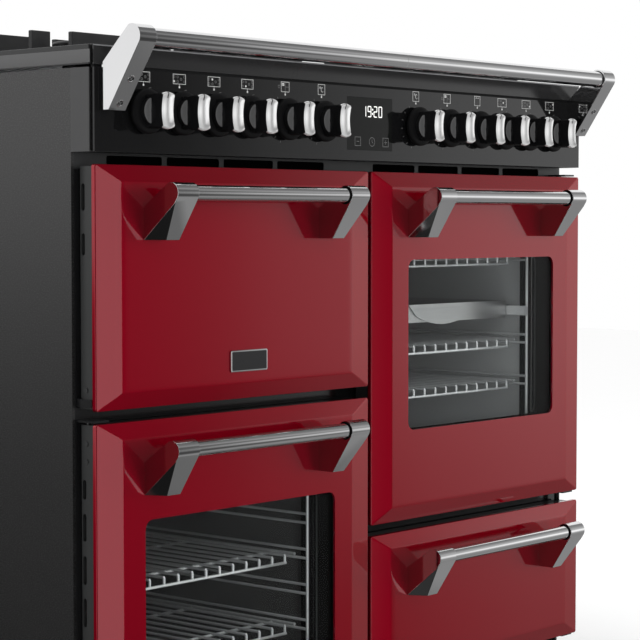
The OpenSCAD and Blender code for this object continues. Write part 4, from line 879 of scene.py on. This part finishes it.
def body_rings(centre):
    """The body: its side, a rounded edge, and a front that rises towards the bar by the
    tangent of body_slope and then along a quarter circle of radius hollow_r, both as
    functions of the distance abs(x) from the middle."""
    side = turned(body_side, (0, 0, 0), body_round)
    a = np.arange(body_round) * 2 * math.pi / body_round
    turn_over = np.radians(np.linspace(0, 90, 6))
    r = np.concatenate([body_r - body_edge * (1 - np.cos(turn_over)),
                        np.linspace(body_r - body_edge, under_bar, 14)[1:],
                        np.linspace(under_bar, pole_r, 4)[1:]])
    drop = np.concatenate([body_edge * (1 - np.sin(turn_over)), np.zeros(16)])
    x = r[:, None] * np.cos(a)
    away = np.clip(np.abs(x), grip_wide / 2 - 0.0004, None)
    near = np.clip(grip_wide / 2 + hollow_r - away, 0, hollow_r)
    rise = (body_r - away) * math.tan(body_slope) + hollow_r - np.sqrt(
        np.maximum(hollow_r ** 2 - near ** 2, 0))
    front = np.stack([x, drop[:, None] - body_long - rise, r[:, None] * np.sin(a)], -1)
    return np.concatenate([side, front]) + centre


front_rows = grip_front()


def bar_shell():
    """The black bar as rings along its front: each ring runs over the front, sunk under the
    insert, and back at the depth bar_back, drawn in at the corners."""
    rings = strip(front_rows, grip_wide / 2, -bar_sunk, 0.0, insert_dish)
    n = rings.shape[1] // 2
    rings[:, n:, 1] = bar_back
    rings[:, n:, 2] = rings[:, :n, 2][:, ::-1] * 0.96
    return rings


insert_rings = strip(front_rows, grip_wide / 2 - bar_sunk, insert_lift, insert_deep,
                     insert_dish)
# The pointer's face is moved out along the rows until it stands proud of the dished insert
upper = front_rows[front_rows[:, 1] > grip_half - pointer_long]
pointer_rings = strip(upper, pointer_half, 0.00005, pointer_deep, 0.0, n=3)
pointer_rings[:, :3] += (upper[:, None, [0, 2, 3]] * [0, 1, 1]) * (
    insert_lift - insert_dish * dish_share(upper) + pointer_proud)[:, None, None]
for name in knob_names:
    node = name + "_knob"
    low, high = map(np.array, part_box(node))
    centre = np.array([(low[0] + high[0]) / 2, low[1] + knob_long, (low[2] + high[2]) / 2])
    skirt = woven(node + "_skirt", turned(skirt_profile, centre), skirt_black, sharp=80.0)
    # The body's front takes the painted sheen; its side and the first band of its edge stay black.
    body = woven(node + "_body", body_rings(centre), knob_satin, sharp=60.0)
    body.data.materials.append(knob_black)
    bands = np.arange(len(body.data.polygons)) // body_round
    body.data.polygons.foreach_set("material_index", (bands < black_bands).astype(np.int32))
    bar = woven(node + "_bar", bar_shell() + centre, knob_black, sharp=50.0)
    insert = woven(node + "_insert", insert_rings + centre, insert_silver, sharp=50.0)
    pointer = woven(node + "_pointer", pointer_rings + centre, pointer_black, sharp=50.0)
    for piece, slot in ((skirt, "knob_black"), (body, "knob_black"), (bar, "knob_black"),
                        (insert, "polished_chrome"), (pointer, "knob_black")):
        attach(piece, node)
    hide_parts(node)

# Gas taps: turned steel spindles on which the knobs are pushed, and the brass manifold that
# feeds the seven taps.
dress(coating("spindle_steel", [(0.45, 0.45, 0.46), (0.55, 0.55, 0.56)], 0.3, metallic=1.0,
              scale=50.0, stretch=(1, 20, 1), grain=0.00001, grain_size=300),
      *[g + "_spindle" for g in burner_plan])
dress(coating("manifold_brass", [(0.52, 0.38, 0.16), (0.66, 0.5, 0.24)], 0.34, metallic=1.0,
              scale=20.0, grain=0.00001, grain_size=500), "gas_manifold")

# Hob: a pressed steel tray in black enamel over the whole top. A grey trim is clipped along
# each side, a thin bright strip at the front edge paints the highlight of the enamel's edge,
# and a black strip in the joint to the fascia paints the shadow of that gap.
hob_enamel = coating("hob_enamel", [(0.014, 0.014, 0.0145), (0.020, 0.020, 0.0205)], 0.17,
                     scale=4.0, specks=0.02, speck_size=900, grain=0.000008, grain_size=400,
                     reflect=0.45)
softened("hob_tray", hob_enamel, 0.0009)
hob_low, hob_high = map(np.array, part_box("hob_tray"))
trim_grey = coating("trim_grey", [(0.085, 0.085, 0.086), (0.10, 0.10, 0.101)], 0.3,
                    scale=6.0)
bright_edge = coating("bright_edge", [(0.30, 0.30, 0.31), (0.36, 0.36, 0.37)], 0.3,
                      metallic=0.6)
trim_rise, trim_half_z, trim_round = 0.0098, 0.0078, 0.0008
trim_mid = np.array([(hob_low[1] + hob_high[1]) / 2 + 0.001, hob_low[2] + trim_rise])
trim_half = np.array([(hob_high[1] - hob_low[1]) / 2 - 0.003, trim_half_z])
for s, side_name in sides:
    plate = rounded_rings(np.tile(trim_mid, (4, 1)),
                          trim_half - np.array([0, 0, 0.0002, 0.0006])[:, None],
                          [trim_round] * 4, [0, 0.0002, 0.0004, 0.00045])
    plate = plate[:, :, [1, 0, 2]] * [s, 1, 1] + [s * (hob_high[0] - 0.0001), 0, 0]
    trim = woven("hob_side_trim_" + side_name, plate, trim_grey, sharp=30.0)
    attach(trim, "cooker")
# A bright strip along the front edge paints the highlight of the enamel's edge.
edge_drop, edge_half, edge_corner = 0.0011, (0.4975, 0.0007), 0.0004
edge_highlight = woven("hob_front_edge", rounded_rings(
    np.tile([0, hob_high[2] - edge_drop], (3, 1)), [edge_half, edge_half, (0.4972, 0.0004)],
    [edge_corner] * 3, hob_low[1] + np.array([0.0002, -0.0001, -0.0003])), bright_edge)
# A black strip in the joint between fascia and hob paints the shadow of that gap.
gap_shade_rise, gap_shade_half, gap_shade_round = 0.0014, (0.4965, 0.0026), 0.0005
gap_shade_strip = woven("hob_gasket", rounded_rings(
    np.tile([0, fascia_high[2] + gap_shade_rise], (2, 1)), [gap_shade_half] * 2, [gap_shade_round] * 2,
    fascia_low[1] + np.array([0.0015, 0.006])), skirt_black)
for piece in (edge_highlight, gap_shade_strip):
    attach(piece, "cooker")

# Burners: cast aluminium cups with flame ports, a ceramic spark electrode and a flame
# sensor beside each, under caps in matt black enamel.
dress(coating("burner_alloy", [(0.28, 0.28, 0.285), (0.4, 0.4, 0.405)], 0.5, metallic=0.8,
              scale=80.0, grain=0.00008, grain_size=1200), "burner_bodies")
dress(coating("cap_enamel", [(0.010, 0.010, 0.011), (0.018, 0.018, 0.019)], 0.42,
              grain=0.00004, grain_size=900), "burner_caps")

# Pan supports: cast iron frames with fingers that point at the burners, in matt enamel that
# keeps the grain of the casting.
support_iron = coating("support_iron", [(0.020, 0.020, 0.021), (0.034, 0.034, 0.035)], 0.55,
                       scale=40.0, grain=0.00012, grain_size=1100, spread=0.08)
softened("pan_supports", support_iron, 0.0011)

# Rail: a chromed tube along the front, in two cast end brackets that slant up from the
# fascia. Each bracket is held by two cross-head screws in its front face.
rail_low, rail_high = map(np.array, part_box("rail_bar"))
rail_y, rail_z = (rail_low[1] + rail_high[1]) / 2, (rail_low[2] + rail_high[2]) / 2
bar_r, collar_r, collar_end, tube_hidden = 0.0115, 0.0145, 0.464, 0.02
bracket_end, bracket_wide, foot_tall, foot_out = 0.490, 0.027, 0.0495, 0.016
collar_start = bracket_end - bracket_wide + 0.001

# The tube is two lengths that meet in a fine groove in the middle
tube = woven("rail_tube", turned_along(
    [(-collar_end - tube_hidden, bar_r), (-0.0005, bar_r), (-0.0003, bar_r - 0.0003),
     (0.0003, bar_r - 0.0003), (0.0005, bar_r), (collar_end + tube_hidden, bar_r)],
    rail_y, rail_z), polished, sharp=20.0)
# The bracket from the side: its upright foot on the fascia, and an arc round the collar
foot_top = fascia_high[2] - 0.0004
foot_base = foot_top - foot_tall
swing = np.radians(np.linspace(205, 68, 28))
side_view = np.vstack([[(fascia_low[1], foot_top), (fascia_low[1], foot_base),
                        (fascia_low[1] - foot_out, foot_base)],
                       np.stack([rail_y + collar_r * np.cos(swing),
                                 rail_z + collar_r * np.sin(swing)], 1)])


def drawn_in(loop, inset):
    """A closed row of points moved inwards by inset, each along the middle of its corner:
    the sum of the normals s and t of its two sides, over half the square of its length."""
    on = np.roll(loop, -1, 0) - loop
    on /= np.linalg.norm(on, axis=1, keepdims=True)
    side = np.stack([on[:, 1], -on[:, 0]], 1)
    both = side + np.roll(side, 1, 0)
    both /= np.maximum((both ** 2).sum(1, keepdims=True) / 2, 1e-9)
    middle = loop.mean(0)
    inwards = 1 if ((middle - loop) * both).sum() > 0 else -1
    return loop + inwards * both * inset


face_run = side_view[3] - side_view[2]
face_run /= np.linalg.norm(face_run)
face_out = np.array([-face_run[1], face_run[0]])
# Turns a shape made about the y axis to stand on the bracket's slanted front face
upright = np.array([[1, 0, 0], [0, *face_out], [0, *face_run]])
# Black for the screw heads, and painted shadow in the gaps at the collars' ends.
seat_black = coating("seat_black", [(0.006, 0.006, 0.006), (0.009, 0.009, 0.009)], 0.5)
# The bracket's rounded edges, as steps (across, inset) from one side to the other
steps = np.array([(0, 0.0005), (0.00008, 0.00025), (0.00025, 0.00008), (0.0005, 0)])
across = np.vstack([steps, (steps * [-1, 1])[::-1] + [bracket_wide, 0]])
screw_steps, screw_head = (0.0094, 0.0424), 0.0037
head_profile = [(pole_r, -0.0003), (screw_head, -0.0003), (screw_head, 0.0002),
                (pole_r, 0.0002)]
rim_profile = [(0.0034, -0.0002), (0.0046, -0.0002), (0.0046, 0.0002), (0.0043, 0.0005),
               (0.0038, 0.0006), (0.0034, 0.0003)]
slot_half, slot_corner, slot_deep = (0.0034, 0.0005), 0.0003, (0.0001, 0.00035)
for s, side_name in sides:
    rings = np.stack([np.column_stack([np.full(len(side_view), s * (bracket_end - w)),
                                       drawn_in(side_view, inset)]) for w, inset in across])
    arm = woven("rail_bracket_" + side_name, rings, polished, sharp=11.0)
    collar = woven("rail_collar_" + side_name, turned_along(
        [(s * collar_start, collar_r - 0.00003),
         (s * (collar_end + 0.0006), collar_r - 0.00003),
         (s * (collar_end + 0.0002), collar_r - 0.0002), (s * collar_end, collar_r - 0.0006),
         (s * collar_end, bar_r - 0.001)], rail_y, rail_z), polished, sharp=20.0)
    # A black ring at each collar's end paints the shadow in the gap round the tube.
    gap = woven("rail_gap_" + side_name, turned_along(
        [(s * (collar_end + 0.001), bar_r - 0.0002), (s * (collar_end - 0.0016), bar_r - 0.0002),
         (s * (collar_end - 0.0016), bar_r + 0.0006),
         (s * (collar_end + 0.0004), collar_r - 0.0005)],
        rail_y, rail_z), seat_black, across=True, sharp=50.0)
    parts_of_side = [arm, collar, gap]
    for k, far in enumerate(screw_steps):
        at = side_view[2] + face_run * far
        middle = np.array([s * (bracket_end - bracket_wide / 2), at[0], at[1]])
        head = turned(head_profile, (0, 0, 0), 32) @ upright + middle
        ring = turned(rim_profile, (0, 0, 0), 32) @ upright + middle
        name = "bracket_screw_%s_%d" % (side_name, k)
        parts_of_side.append(woven(name, head, seat_black, sharp=30.0))
        parts_of_side.append(woven(name + "_rim", ring, polished, across=True, sharp=50.0))
        for turn_by in (45, 135):
            a = math.radians(turn_by)
            spin = np.array([[math.cos(a), 0, math.sin(a)], [0, 1, 0],
                             [-math.sin(a), 0, math.cos(a)]])
            slot_rings = rounded_rings(np.zeros((2, 2)), [slot_half] * 2, [slot_corner] * 2,
                                       slot_deep, each=3) @ spin @ upright + middle
            parts_of_side.append(woven("%s_cross_%d" % (name, turn_by), slot_rings, polished))
    for piece in parts_of_side:
        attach(piece, "cooker")
    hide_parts("rail_brackets")
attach(tube, "cooker")
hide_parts("rail_bar")
